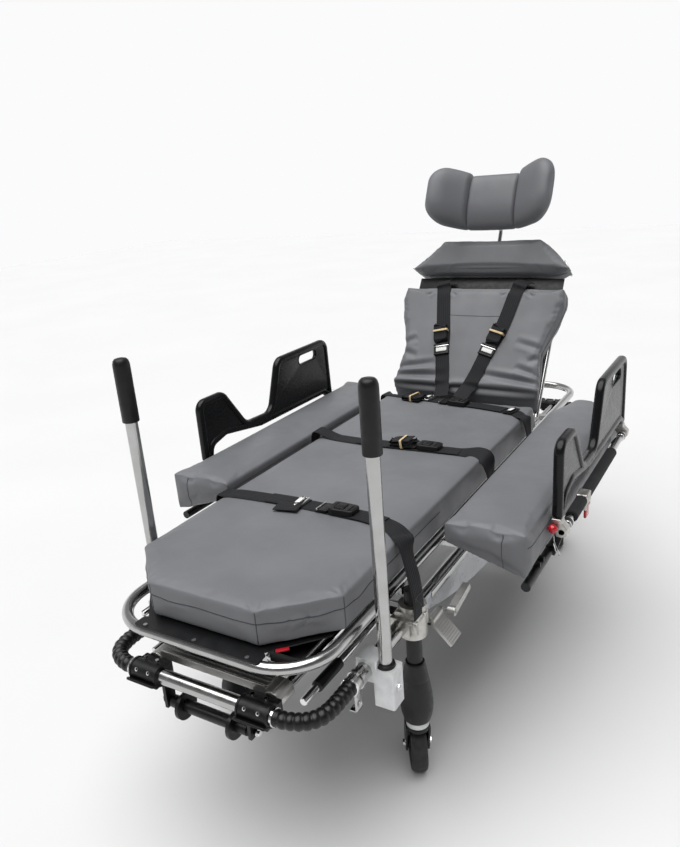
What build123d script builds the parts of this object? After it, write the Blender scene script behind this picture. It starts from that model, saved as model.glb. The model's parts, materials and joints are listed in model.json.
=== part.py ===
from build123d import *
import os
from math import cos, radians, sin, tan

os.makedirs("parts", exist_ok=True)

# Low bariatric stretcher trolley, millimetres. X runs across, +Y from foot to head,
# Z up. The origin is on the floor, in the middle of the footprint.

# ---- overall ----
bumper_y = 1006.0          # middle of the trolley to either bumper bar
mattress_top = 638.0       # patient surface above the floor
mattress_foot_y = -979.0
mattress_half = 266.0
mattress_thick = 86.0

# ---- tubes ----
rail_x = 266.0             # chassis tubes
rail_z = 438.0
rail_d = 35.0
rail_wall = 2.0
rail_end_y = 873.0
loop_x = 254.0             # polished frame that carries the mattress
loop_z = 535.0
loop_d = 25.0
loop_foot_y = -999.0
loop_head_y = 952.0
loop_corner = 115.0
bar_d = 32.0
bar_half = 176.0
clamp_from = 103.0
clamp_d = 44.0
clamp_back = 34.0
hose_d = 34.0
arm_x = 150.0
arm_d = 22.0

# ---- legs and castors ----
leg_x = 282.0
leg_y = 617.0
sleeve_d = 36.0
sleeve_bore = 30.0
sleeve_z = (205.0, 520.0)
gland_h = 15.0
ram_d = 28.0
ram_top = 500.0
piston_h = 20.0
casting_z = (407.0, 486.0)
casting_half_y = 38.0
casting_d = 62.0
pocket = 18.0
boot_z = (176.0, 333.0)
boot_d = 77.0
boot_mouth_d = 46.0
flange_z = (160.3, 175.9)
flange_d = 54.0
wheel_d = 140.0
wheel_w = 40.0
tyre_depth = 18.0
trail = 43.0
crown_z = (147.0, 160.0)
cheek_gap = 48.0
cheek_t = 5.0
axle_d = 10.0
stem_d = 12.0
swivel_angle = {"foot_right": 32, "foot_left": -18, "head_right": 14, "head_left": -35}

# ---- backrest, head section and headrest ----
hinge_y = 427.0
recline = 56.0             # rest angle above the flat
back_top_n = mattress_top - loop_z
back_under_n = 31.0
back_tube_n = 22.0
back_tube_d = 16.0
back_tube_x = 246.0
back_from = 35.0
back_to = 465.0
back_half = (262.0, 290.0)
head_pivot = (505.0, 20.0)
head_tilt = 8.0
head_from = 38.0
head_to = 150.0
head_half = (293.0, 178.0)
head_top_m = 68.5
head_under_m = -6.0
hinge_rod_d = 12.0
post_d = 14.0
post_back_m = -22.0
pillow_centre = (281.0, 96.0)
pillow_half = 222.0
pillow_h = 205.0
pillow_t = 66.0

# ---- wings and guards ----
wing_hinge_x = 300.0
wing_hinge_z = 535.0
wing_in = 303.0
wing_out = 503.0
wing_y = (-504.0, 484.0)
wing_under = (577.0, 517.0)   # underside at the inner and the outer edge
wing_arm_y = (-380.0, 330.0)
wing_arm_w = 20.0
wing_arm_t = 12.0
wing_pin_d = 10.0
wing_rail_x = 492.0
wing_rail_z = 497.0
wing_rail_d = 22.0
guard_axis_x = 532.0
guard_axis_z = 575.0
guard_x = (508.0, 532.0)
guard_core_d = 16.0
guard_foam_d = 30.0
guard_end_y = (-345.0, 385.0)
lug_y = (-292.0, 332.0)
lug_t = 12.0
knob_d = 21.0
plunger_d = 8.0
knob_x = 516.0
knob_z = 588.0
bracket_w = 27.0

# ---- push handles, pedals and roller ----
push_x = 303.0
push_y = -790.0
push_d = 28.0
push_foot_z = 373.0
push_top_z = 1044.0
grip_d = 38.0
grip_from_z = 900.0
socket_top_z = 446.0
roller_z = 366.0
roller_y = -990.0
pedal_pin_x = 303.0
pedal_pin_z = 414.0
pedal_y = -548.0
release_x = 324.0
release_y = -496.0
release_z = 404.0

running = 0.05             # radial clearance of a shaft in its bore
gap = 0.3                  # clearance between faces of different bodies

corners = {
    "foot_right": (1, -1),
    "foot_left": (-1, -1),
    "head_right": (1, 1),
    "head_left": (-1, 1),
}
sides = {"right": 1, "left": -1}
ends = {"foot": -1, "head": 1}


def write(piece, name):
    piece.label = name
    export_step(piece, f"parts/{name}.step")


def bent_tube(points, radius, outer, inner=0.0):
    """A round tube along straight runs joined by arcs."""
    with BuildPart() as tube:
        with BuildLine() as path:
            FilletPolyline(*points, radius=radius)
        start = path.line @ 0
        with BuildSketch(Plane(origin=start, z_dir=path.line % 0)):
            Circle(outer / 2)
            if inner:
                Circle(inner / 2, mode=Mode.SUBTRACT)
        sweep()
    return tube.part


def straight_tube(start, end, outer, inner=0.0):
    """A straight tube, or a rod when no bore is given."""
    along = Vector(*end) - Vector(*start)
    with BuildPart() as tube:
        with BuildSketch(Plane(origin=start, z_dir=along)):
            Circle(outer / 2)
            if inner:
                Circle(inner / 2, mode=Mode.SUBTRACT)
        extrude(amount=along.length)
    return tube.part


# ================= chassis =================
with BuildPart() as corner_castings:
    casting_mid = sum(casting_z) / 2
    casting_h = casting_z[1] - casting_z[0]
    with Locations((leg_x, leg_y, casting_mid)):
        Cylinder(casting_d / 2, casting_h)
    with BuildSketch(Plane.XZ.offset(-leg_y)):
        with Locations((rail_x, rail_z)):
            RectangleRounded(2 * (rail_x - 241), rail_d + 10, 6)
    extrude(amount=casting_half_y, both=True)
    with BuildSketch(Plane.XZ.offset(-leg_y)):
        with Locations((leg_x - 3, casting_mid)):
            RectangleRounded(casting_d - 10, casting_h - 24, 6)
    extrude(amount=casting_half_y - 7, both=True)
    with Locations((leg_x, leg_y, casting_mid)):
        Cylinder(sleeve_d / 2 + running, casting_h + 20, mode=Mode.SUBTRACT)
    for side in (-1, 1):
        with Locations((rail_x, leg_y + side * (casting_half_y - pocket / 2), rail_z)):
            Cylinder(rail_d / 2 + running, pocket, rotation=(90, 0, 0), mode=Mode.SUBTRACT)
    mirror(about=Plane.XZ)
    mirror(about=Plane.YZ)
write(corner_castings.part, "corner_castings")

with BuildPart() as leg_sleeves:
    with BuildSketch(Plane.XZ):
        with BuildLine():
            Polyline(
                (ram_d / 2 + running, sleeve_z[0]),
                (sleeve_d / 2, sleeve_z[0]),
                (sleeve_d / 2, sleeve_z[1]),
                (0, sleeve_z[1]),
                (0, sleeve_z[1] - 4),
                (sleeve_bore / 2, sleeve_z[1] - 4),
                (sleeve_bore / 2, sleeve_z[0] + gland_h),
                (ram_d / 2 + running, sleeve_z[0] + gland_h),
                close=True,
            )
        make_face()
    one_sleeve = revolve(axis=Axis.Z, mode=Mode.PRIVATE)
    for across, along in corners.values():
        add(one_sleeve.moved(Location((across * leg_x, along * leg_y, 0))))
write(leg_sleeves.part, "leg_sleeves")

with BuildPart() as side_rails:
    inner_end = leg_y - casting_half_y + pocket
    outer_end = leg_y + casting_half_y - pocket
    rail_bore = rail_d - 2 * rail_wall
    for side in (-1, 1):
        for y0, y1 in ((-rail_end_y, -outer_end), (-inner_end, inner_end), (outer_end, rail_end_y)):
            add(straight_tube((side * rail_x, y0, rail_z), (side * rail_x, y1, rail_z), rail_d, rail_bore))
write(side_rails.part, "side_rails")

with BuildPart() as bumper_bars:
    for end in (-1, 1):
        add(straight_tube((-bar_half, end * bumper_y, rail_z), (bar_half, end * bumper_y, rail_z),
                          bar_d, bar_d - 4))
write(bumper_bars.part, "bumper_bars")

with BuildPart() as bumper_clamps:
    clamp_mid = (clamp_from + bar_half) / 2
    clamp_w = bar_half - clamp_from
    with Locations((clamp_mid, -bumper_y, rail_z)):
        Cylinder(clamp_d / 2, clamp_w, rotation=(0, 90, 0))
    with Locations((clamp_mid, -bumper_y + clamp_back / 2, rail_z)):
        Box(clamp_w, clamp_back, 26)
    with Locations((clamp_mid, -bumper_y - 6, rail_z - 17)):
        Box(clamp_w, 30, 6)
    fillet(bumper_clamps.edges().filter_by(Axis.Z), 2.5)
    with Locations((clamp_mid, -bumper_y, rail_z)):
        Cylinder(bar_d / 2 + running, clamp_w + 10, rotation=(0, 90, 0), mode=Mode.SUBTRACT)
    mirror(about=Plane.YZ)
    mirror(about=Plane.XZ)
    for side in (-1, 1):
        with Locations((side * (clamp_from + 6), roller_y, (rail_z - 12 + roller_z - 12) / 2)):
            Box(8, 26, rail_z - roller_z)
        with Locations((side * (clamp_from + 6), roller_y, roller_z)):
            Cylinder(6 + running, 20, rotation=(0, 90, 0), mode=Mode.SUBTRACT)
        with Locations((side * (clamp_from + 6), -bumper_y, rail_z)):
            Cylinder(bar_d / 2 + running, 20, rotation=(0, 90, 0), mode=Mode.SUBTRACT)
write(bumper_clamps.part, "bumper_clamps")

with BuildPart() as bumper_hoses:
    for end in (-1, 1):
        for side in (-1, 1):
            route = (
                (side * (bar_half + 0.1), end * bumper_y, rail_z),
                (side * (rail_x + 6), end * bumper_y, rail_z),
                (side * rail_x, end * (bumper_y - 71), rail_z),
                (side * rail_x, end * (rail_end_y + 0.1), rail_z),
            )
            add(bent_tube(route, 60, hose_d))
write(bumper_hoses.part, "bumper_hoses")

with BuildPart() as cross_members:
    for end in (-1, 1):
        with Locations((0, end * leg_y, rail_z)):
            Box(2 * 240.9, 30, 28)
        with Locations((0, end * leg_y, loop_z - loop_d / 2 - 8.7)):
            Box(2 * 263.8, 24, 17)
        for side in (-1, 1):
            add(straight_tube((side * arm_x, end * (leg_y + 15.1), rail_z),
                              (side * arm_x, end * (bumper_y - clamp_back - 0.1), rail_z), arm_d, arm_d - 4))
    bar_top = loop_z - loop_d / 2 - 0.1
    for y in wing_arm_y:
        with Locations((0, y, bar_top - 6)):
            Box(2 * (wing_hinge_x + 8), wing_arm_w, 12)
        for side in (-1, 1):
            with Locations((side * wing_hinge_x, y, wing_hinge_z - 7.5)):
                Box(16, wing_arm_w, 35)
            with Locations((side * wing_hinge_x, y, wing_hinge_z)):
                Cylinder(wing_pin_d / 2 + running, 60, rotation=(90, 0, 0), mode=Mode.SUBTRACT)
    add(straight_tube((pedal_pin_x, -leg_y + casting_half_y + 0.1, pedal_pin_z),
                      (pedal_pin_x, pedal_y + 35, pedal_pin_z), 10))
    add(straight_tube((rail_x + rail_d / 2 + 8.1, release_y, release_z),
                      (release_x + 12, release_y, release_z), 8))
    rod_half = loop_x - loop_d / 2 - 0.1
    add(straight_tube((-rod_half, hinge_y, loop_z), (rod_half, hinge_y, loop_z), hinge_rod_d))
write(cross_members.part, "cross_members")

with BuildPart() as step_bar:
    step_y = -bumper_y + 58
    with Locations((0, step_y, rail_z + arm_d / 2 + 8)):
        Box(2 * (arm_x - 14), 46, 15)
    with Locations((0, step_y, rail_z + arm_d / 2 + 15.5)):
        with GridLocations(0, 11, 1, 4):
            Box(2 * arm_x, 4, 4, mode=Mode.SUBTRACT)
    for side in (-1, 1):
        with Locations((side * arm_x, step_y, rail_z)):
            Cylinder(arm_d / 2 + 7, 46, rotation=(90, 0, 0))
        with Locations((side * (arm_x - 10), step_y, rail_z + arm_d / 2 + 5)):
            Box(24, 46, 12)
    for side in (-1, 1):
        with Locations((side * arm_x, step_y, rail_z)):
            Cylinder(arm_d / 2 + running, 80, rotation=(90, 0, 0), mode=Mode.SUBTRACT)
write(step_bar.part, "step_bar")

with BuildPart() as upper_frame:
    split_y = hinge_y - 20
    for tip in (loop_foot_y, loop_head_y):
        loop = (
            (loop_x, split_y, loop_z),
            (loop_x, tip, loop_z),
            (-loop_x, tip, loop_z),
            (-loop_x, split_y, loop_z),
        )
        add(bent_tube(loop, loop_corner, loop_d, loop_d - 4))
write(upper_frame.part, "upper_frame")

deck_z = loop_z + loop_d / 2 + 0.1
with BuildPart() as mattress_deck:
    deck_half = loop_x - loop_d / 2 - 4
    deck_front = loop_foot_y + loop_d / 2 + 2
    with BuildSketch(Plane.XY.offset(deck_z)):
        with BuildLine():
            Polyline(
                (deck_half, hinge_y - 30),
                (deck_half, deck_front + 110),
                (deck_half - 100, deck_front),
                (-deck_half + 100, deck_front),
                (-deck_half, deck_front + 110),
                (-deck_half, hinge_y - 30),
                close=True,
            )
        make_face()
        with Locations((0, loop_foot_y + 6)):
            RectangleRounded(312, 34, 9)
    extrude(amount=3)
write(mattress_deck.part, "mattress_deck")

rivet_x = (-129, 0, 129)
with BuildPart() as frame_fasteners:
    for x in rivet_x:
        with Locations((x, loop_foot_y - 3, deck_z + 3 + 1.3)):
            Cylinder(4.5, 2.4)
    for end in (-1, 1):
        for side in (-1, 1):
            for x in (clamp_mid - 16, clamp_mid + 16):
                with Locations((side * x, end * (bumper_y - 12), rail_z + clamp_d / 2 + 1)):
                    Cylinder(4.0, 5)
write(frame_fasteners.part, "frame_fasteners")

with BuildPart() as handle_sockets:
    with Locations((307, push_y, (socket_top_z + 358) / 2)):
        Box(46, 46, socket_top_z - 358)
    with Locations((rail_x + 3, push_y, rail_z)):
        Box(50, 46, rail_d + 17)
    fillet(handle_sockets.edges().filter_by(Axis.Z), 4)
    with Locations((push_x, push_y, socket_top_z)):
        Cylinder(push_d / 2 + running, 2 * (socket_top_z - push_foot_z), mode=Mode.SUBTRACT)
    with Locations((rail_x, push_y, rail_z)):
        Cylinder(rail_d / 2 + running, 60, rotation=(90, 0, 0), mode=Mode.SUBTRACT)
    mirror(about=Plane.YZ)
write(handle_sockets.part, "handle_sockets")

with BuildPart() as hydraulic_pump:
    under_bar = bar_top - 12.1
    with Locations((0, wing_arm_y[0] + 20, under_bar - 27)):
        Box(110, 170, 54)
    fillet(hydraulic_pump.edges().filter_by(Axis.Y), 6)
    with Locations((0, wing_arm_y[0] + 105 + 140, under_bar - 30)):
        Cylinder(29, 280, rotation=(90, 0, 0))
    for across, along in corners.values():
        pipe_y = wing_arm_y[0] + 20 + along * 50
        pipe_z = casting_z[1] - 10
        pipe = (
            (across * 55, pipe_y, pipe_z),
            (across * 190, pipe_y, pipe_z),
            (across * 190, along * leg_y, pipe_z),
            (across * (leg_x - casting_d / 2 - 0.2), along * leg_y, pipe_z),
        )
        add(bent_tube(pipe, 18, 6))
write(hydraulic_pump.part, "hydraulic_pump")

with BuildPart() as side_panels:
    panel_end = leg_y - casting_half_y - 6
    with BuildSketch(Plane.YZ.offset(rail_x + rail_d / 2 + 1)):
        with BuildLine():
            Line((-panel_end, rail_z + 24), (panel_end, rail_z + 24))
            Line((panel_end, rail_z + 24), (panel_end, rail_z + 2))
            ThreePointArc((panel_end, rail_z + 2), (0, rail_z - 92), (-panel_end, rail_z + 2))
            Line((-panel_end, rail_z + 2), (-panel_end, rail_z + 24))
        make_face()
    extrude(amount=7)
    mirror(about=Plane.YZ)
write(side_panels.part, "side_panels")

# ================= legs and castors =================
with BuildPart() as ram:
    with BuildSketch(Plane.XZ):
        with BuildLine():
            Polyline(
                (stem_d / 2 + running, flange_z[0]),
                (flange_d / 2, flange_z[0]),
                (flange_d / 2, flange_z[1]),
                (ram_d / 2, flange_z[1]),
                (ram_d / 2, ram_top - piston_h),
                (sleeve_bore / 2 - running, ram_top - piston_h),
                (sleeve_bore / 2 - running, ram_top),
                (0, ram_top),
                (0, flange_z[1] + 4),
                (stem_d / 2 + running, flange_z[1] + 4),
                close=True,
            )
        make_face()
    revolve(axis=Axis.Z)

with BuildPart() as boot:
    with BuildSketch(Plane.XZ):
        with BuildLine():
            Line((ram_d / 2, boot_z[0]), (boot_d / 2 - 8, boot_z[0]))
            Spline(
                (boot_d / 2 - 8, boot_z[0]),
                (boot_d / 2, boot_z[0] + 40),
                (boot_d / 2 - 7, boot_z[0] + 95),
                (boot_mouth_d / 2, boot_z[1]),
            )
            Polyline(
                (boot_mouth_d / 2, boot_z[1]),
                (sleeve_d / 2 + 1, boot_z[1]),
                (sleeve_d / 2 + 1, boot_z[0] + 12),
                (ram_d / 2, boot_z[0] + 12),
                (ram_d / 2, boot_z[0]),
            )
        make_face()
    revolve(axis=Axis.Z)

for corner, (across, along) in corners.items():
    leg_place = Location((across * leg_x, along * leg_y, 0))
    castor_plane = Plane(
        origin=(across * leg_x, along * leg_y, 0),
        x_dir=(cos(radians(swivel_angle[corner])), sin(radians(swivel_angle[corner])), 0),
        z_dir=(0, 0, 1),
    )

    with BuildPart() as leg_lower:
        add(ram.part.moved(leg_place))
        add(boot.part.moved(leg_place))
    write(leg_lower.part, f"leg_lower_{corner}")

    with BuildPart(castor_plane) as castor_fork:
        cheek_x = cheek_gap / 2 + cheek_t / 2
        crown_h = crown_z[1] - crown_z[0]
        with Locations((0, 0, sum(crown_z) / 2)):
            Cylinder(flange_d / 2 - 1, crown_h)
        with Locations((0, 20, crown_z[0] + 3)):
            Box(cheek_gap + 2 * cheek_t, 52, 6)
        for side in (-1, 1):
            with Locations((side * cheek_x, (trail + 6) / 2, (crown_z[0] + wheel_d / 2) / 2)):
                Box(cheek_t, 30, crown_z[0] - wheel_d / 2 + 8)
            with Locations((side * cheek_x, trail, wheel_d / 2)):
                Cylinder(16, cheek_t, rotation=(0, 90, 0))
        with Locations((0, 0, crown_z[1] + 9)):
            Cylinder(stem_d / 2, 18)
        with Locations((0, trail, wheel_d / 2)):
            Cylinder(axle_d / 2, cheek_gap + 2 * cheek_t + 12, rotation=(0, 90, 0))
    write(castor_fork.part, f"castor_fork_{corner}")

    with BuildPart(castor_plane) as castor_wheel:
        with Locations((0, trail, wheel_d / 2)):
            Cylinder(wheel_d / 2, wheel_w, rotation=(0, 90, 0))
        fillet(castor_wheel.edges().filter_by(GeomType.CIRCLE), 9)
        with Locations((0, trail, wheel_d / 2)):
            Cylinder(wheel_d / 2 - tyre_depth, wheel_w + 2, rotation=(0, 90, 0), mode=Mode.SUBTRACT)
    with BuildPart(castor_plane) as castor_hub:
        with Locations((0, trail, wheel_d / 2)):
            Cylinder(wheel_d / 2 - tyre_depth, wheel_w - 10, rotation=(0, 90, 0))
            Cylinder(15, cheek_gap - 2 * gap, rotation=(0, 90, 0))
            Cylinder(axle_d / 2 + running, cheek_gap + 4, rotation=(0, 90, 0), mode=Mode.SUBTRACT)
    wheel = Compound(children=[castor_wheel.part, castor_hub.part])
    write(wheel, f"castor_wheel_{corner}")

# ================= push handles =================
for side, across in sides.items():
    with BuildPart() as push_tube:
        with BuildSketch(Plane.XY.offset(push_foot_z + gap)):
            with Locations((across * push_x, push_y)):
                Circle(push_d / 2)
        extrude(amount=push_top_z - 8 - push_foot_z)
        with Locations((across * push_x, push_y, push_foot_z)):
            Cylinder(push_d / 2 - 2, 1000, mode=Mode.SUBTRACT)
    with BuildPart() as push_grip:
        with BuildSketch(Plane.XY.offset(grip_from_z)):
            with Locations((across * push_x, push_y)):
                Circle(grip_d / 2)
        extrude(amount=push_top_z - grip_from_z)
        fillet(push_grip.edges().group_by(Axis.Z)[-1], 11)
        fillet(push_grip.edges().group_by(Axis.Z)[0], 2)
        with BuildSketch(Plane.XY.offset(grip_from_z)):
            with Locations((across * push_x, push_y)):
                Circle(push_d / 2)
        extrude(amount=push_top_z - 8 + gap - grip_from_z, mode=Mode.SUBTRACT)
    write(Compound(children=[push_tube.part, push_grip.part]), f"push_handle_{side}")

# ================= mattress =================
seat_end = hinge_y - 22
seat_lean = tan(radians(30))
with BuildPart() as mattress:
    with BuildSketch(Plane.XY.offset(mattress_top - mattress_thick)):
        with BuildLine():
            Polyline(
                (mattress_half, seat_end),
                (mattress_half, mattress_foot_y + 121),
                (mattress_half - 129, mattress_foot_y),
                (129 - mattress_half, mattress_foot_y),
                (-mattress_half, mattress_foot_y + 121),
                (-mattress_half, seat_end),
                close=True,
            )
        make_face()
    extrude(amount=mattress_thick)
    with BuildSketch(Plane.YZ):
        with BuildLine():
            Polyline(
                (seat_end, mattress_top - mattress_thick),
                (seat_end + 10, mattress_top - mattress_thick),
                (seat_end + 10, mattress_top + 10),
                (seat_end - (mattress_thick + 10) * seat_lean, mattress_top + 10),
                close=True,
            )
        make_face()
    extrude(amount=mattress_half + 10, both=True, mode=Mode.SUBTRACT)
write(mattress.part, "mattress")

# ================= backrest =================
back_plane = Plane(
    origin=(0, hinge_y, loop_z),
    x_dir=(1, 0, 0),
    z_dir=(0, -sin(radians(recline)), cos(radians(recline))),
)

# A lever under the backrest carries the pin that rides in the strut's yoke.
lever_r = 97.0
lever_angle = -127.5 + recline
lever_x = 12.0
lever_pin_d = 10.0
pin_y = hinge_y + lever_r * cos(radians(lever_angle))
pin_z = loop_z + lever_r * sin(radians(lever_angle))
lever_root = back_plane.from_local_coords((0, 60, back_tube_n))

with BuildPart(back_plane) as backrest_frame:
    ear_x = loop_x - loop_d / 2 - 26
    ear_n = (-10, back_tube_n + 2)
    for side in (-1, 1):
        with Locations((side * ear_x, 18, (ear_n[0] + ear_n[1]) / 2)):
            Box(8, 56, ear_n[1] - ear_n[0])
        with Locations((side * (ear_x + back_tube_x) / 2, 40, back_tube_n)):
            Box(back_tube_x - ear_x + 4, 12, 12)
    with BuildSketch(back_plane.offset(back_tube_n + 5)):
        with Locations((0, (back_from + back_to) / 2)):
            Rectangle(2 * back_tube_x - 10, back_to - back_from - 20)
    extrude(amount=3.6)
    for side in (-1, 1):
        for tip, width in (((pin_y, pin_z), 18), ((lever_root.Y, lever_root.Z), 14)):
            reach = Vector(tip[0] - hinge_y, tip[1] - loop_z, 0)
            middle = ((tip[0] + hinge_y) / 2, (tip[1] + loop_z) / 2, 0)
            turn = Vector(1, 0, 0).get_signed_angle(reach, Vector(0, 0, 1))
            with BuildSketch(Plane.YZ.offset(side * lever_x)):
                with Locations(Location(middle, (0, 0, turn))):
                    SlotCenterToCenter(reach.length, width)
            extrude(amount=3, both=True)
        with BuildSketch(Plane.YZ.offset(side * lever_x)):
            with Locations((hinge_y, loop_z)):
                Circle(13)
        extrude(amount=3, both=True)
    with BuildSketch(Plane.YZ):
        with Locations((pin_y, pin_z)):
            Circle(lever_pin_d / 2)
    extrude(amount=lever_x + 3, both=True)
    Cylinder(hinge_rod_d / 2 + running, 600, rotation=(0, 90, 0), mode=Mode.SUBTRACT)
    with BuildLine(back_plane.offset(back_tube_n)) as back_loop:
        FilletPolyline(
            (back_tube_x, 34),
            (back_tube_x, back_to + 12),
            (-back_tube_x, back_to + 12),
            (-back_tube_x, 34),
            radius=40,
        )
    with BuildSketch(Plane(origin=back_loop.line @ 0, z_dir=back_loop.line % 0)):
        Circle(back_tube_d / 2)
    sweep()
    for side in (-1, 1):
        with Locations((side * 150, (back_to + 12 + head_pivot[0]) / 2, back_tube_n - 1)):
            Box(10, head_pivot[0] - back_to + 10, 14)
    with Locations((0, head_pivot[0], head_pivot[1])):
        Cylinder(5 + running, 600, rotation=(0, 90, 0), mode=Mode.SUBTRACT)
write(backrest_frame.part, "backrest_frame")

with BuildPart() as backrest_cushion:
    with BuildSketch(back_plane.offset(back_under_n)):
        with BuildLine():
            Polyline(
                (back_half[0], back_from),
                (back_half[1], back_to),
                (-back_half[1], back_to),
                (-back_half[0], back_from),
                close=True,
            )
        make_face()
    extrude(amount=back_top_n - back_under_n)
    back_side = Plane(origin=back_plane.origin, x_dir=back_plane.y_dir, z_dir=back_plane.x_dir)
    with BuildSketch(back_side):
        with BuildLine():
            Polyline(
                (back_from - 10, back_under_n - 10),
                (back_from, back_under_n),
                (back_from + 58, back_top_n + 4),
                (back_from - 10, back_top_n + 4),
                close=True,
            )
        make_face()
    extrude(amount=back_half[1] + 20, both=True, mode=Mode.SUBTRACT)
write(backrest_cushion.part, "backrest_cushion")

strap_w = 50.0
strap_t = 2.4
shoulder_ends = (((-139, 456), (-66, 100)), ((133, 456), (30, 100)))
shoulder_adjuster = ((-97, 243), (72, 243))

with BuildPart(back_plane) as shoulder_harness:
    for (x0, u0), (x1, u1) in shoulder_ends:
        run = Vector(x1 - x0, u1 - u0, 0)
        with BuildSketch(back_plane.offset(back_top_n + gap)):
            turn = Vector(1, 0, 0).get_signed_angle(run, Vector(0, 0, 1))
            with Locations(Location(((x0 + x1) / 2, (u0 + u1) / 2, 0), (0, 0, turn))):
                Rectangle(run.length, strap_w)
        extrude(amount=strap_t)
    for x, u in shoulder_adjuster:
        with BuildSketch(back_plane.offset(back_top_n + gap + strap_t)):
            with Locations((x, u)):
                RectangleRounded(60, 40, 5)
        extrude(amount=9)
write(shoulder_harness.part, "shoulder_harness")

# The head section tips on a rod behind the backrest's top edge.
head_plane = Plane(
    origin=back_plane.from_local_coords((0, head_pivot[0], head_pivot[1])),
    x_dir=(1, 0, 0),
    z_dir=(0, -sin(radians(recline + head_tilt)), cos(radians(recline + head_tilt))),
)

with BuildPart(head_plane) as head_frame:
    with BuildSketch(head_plane.offset(head_under_m - 6)):
        with BuildLine():
            Polyline((230, 20), (230, 50), (150, head_to - 12), (-150, head_to - 12), (-230, 50), (-230, 20), close=True)
        make_face()
    extrude(amount=5.7)
    with Locations((0, 78, post_back_m)):
        Box(28, 70, 20)
    for side in (-1, 1):
        with Locations((side * 136, 10, -3.5)):
            Box(14, 36, 17)
    Cylinder(5, 330, rotation=(0, 90, 0))
    with Locations((0, 78, post_back_m)):
        Cylinder(post_d / 2 + running, 100, rotation=(90, 0, 0), mode=Mode.SUBTRACT)
write(head_frame.part, "head_frame")

with BuildPart(head_plane) as head_cushion:
    with BuildSketch(head_plane.offset(head_under_m)):
        with BuildLine():
            Polyline(
                (head_half[0], head_from),
                (head_half[1], head_to),
                (-head_half[1], head_to),
                (-head_half[0], head_from),
                close=True,
            )
        make_face()
    extrude(amount=head_top_m - head_under_m)
write(head_cushion.part, "head_cushion")

pillow_pivot = (pillow_centre[0] - 12, pillow_centre[1] - pillow_t / 2 - 19)
post_side = Plane(origin=head_plane.origin, x_dir=head_plane.y_dir, z_dir=head_plane.x_dir)
with BuildPart() as headrest_post:
    with BuildLine(post_side):
        post_line = FilletPolyline((46, post_back_m), (212, post_back_m), pillow_pivot, radius=34)
    with BuildSketch(Plane(origin=post_line @ 0, z_dir=post_line % 0)):
        Circle(post_d / 2)
    sweep()
    with BuildSketch(post_side):
        with Locations(pillow_pivot):
            Circle(10)
    extrude(amount=22, both=True)
    with BuildSketch(post_side):
        with Locations(pillow_pivot):
            Circle(4 + running)
    extrude(amount=30, both=True, mode=Mode.SUBTRACT)
write(headrest_post.part, "headrest_post")

with BuildPart() as headrest_bracket:
    with BuildSketch(post_side):
        with Locations(pillow_pivot):
            Circle(4)
    extrude(amount=28, both=True)
    for side in (-1, 1):
        with BuildSketch(post_side.offset(side * 25.5)):
            with Locations(pillow_pivot):
                Circle(9)
            with Locations((pillow_pivot[0], pillow_pivot[1] + 7)):
                Rectangle(18, 12)
        extrude(amount=2.5, both=True)
    with BuildSketch(head_plane.offset(pillow_pivot[1] + 13)):
        with Locations((0, pillow_pivot[0])):
            RectangleRounded(120, 70, 8)
    extrude(amount=5.7)

with BuildPart(head_plane) as headrest_cushion:
    with BuildSketch(head_plane.offset(pillow_centre[1] - pillow_t / 2)):
        with Locations((0, pillow_centre[0])):
            RectangleRounded(2 * pillow_half, pillow_h, 60)
    extrude(amount=pillow_t)
    for side in (-1, 1):
        with BuildSketch(head_plane.offset(pillow_centre[1])):
            with Locations((side * (pillow_half - 55), pillow_centre[0])):
                RectangleRounded(100, pillow_h - 20, 45)
        extrude(amount=pillow_t / 2 + 42)
write(Compound(children=[headrest_cushion.part, headrest_bracket.part]), "headrest_cushion")

# ================= backrest strut: a yoke that slides on a lever pin =================
strut_z = 446.0
strut_d = 28.0
strut_bore = 24.0
strut_from = 60.0
strut_to = 300.0
rod_d = 12.0
yoke_slot = (20.0, 34.0)
yoke_mid_z = strut_z + 2
seat_y = (95.0, 265.0)

with BuildPart() as strut_cylinder:
    add(straight_tube((0, strut_from, strut_z), (0, strut_to, strut_z), strut_d))
    add(straight_tube((0, strut_from + 5, strut_z), (0, strut_to - 8, strut_z), strut_bore), mode=Mode.SUBTRACT)
    add(straight_tube((0, strut_to - 20, strut_z), (0, strut_to + 5, strut_z), rod_d + 2 * running),
        mode=Mode.SUBTRACT)
    for y in seat_y:
        with Locations((0, y, strut_z - strut_d / 2 - 6.5)):
            Box(2 * 249.3, 30, 11)
        with Locations((0, y, strut_z - 10)):
            Box(strut_d + 8, 26, 12)
    add(straight_tube((0, strut_from + 5, strut_z), (0, strut_to - 8, strut_z), strut_bore), mode=Mode.SUBTRACT)
write(strut_cylinder.part, "strut_cylinder")

with BuildPart() as strut_rod:
    add(straight_tube((0, 180, strut_z), (0, pin_y - 16, strut_z), rod_d))
    add(straight_tube((0, 168, strut_z), (0, 180, strut_z), strut_bore - 2 * running))
    with BuildSketch(Plane.YZ):
        with Locations((pin_y, yoke_mid_z)):
            RectangleRounded(yoke_slot[0] + 14, yoke_slot[1] + 14, 8)
            RectangleRounded(*yoke_slot, 6, mode=Mode.SUBTRACT)
    extrude(amount=7, both=True)
write(strut_rod.part, "strut_rod")


# ================= wings and side guards =================
def under_wing(x):
    """Height of the wing cushion's underside."""
    share = (x - wing_in) / (wing_out - wing_in)
    return wing_under[0] + share * (wing_under[1] - wing_under[0])


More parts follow.
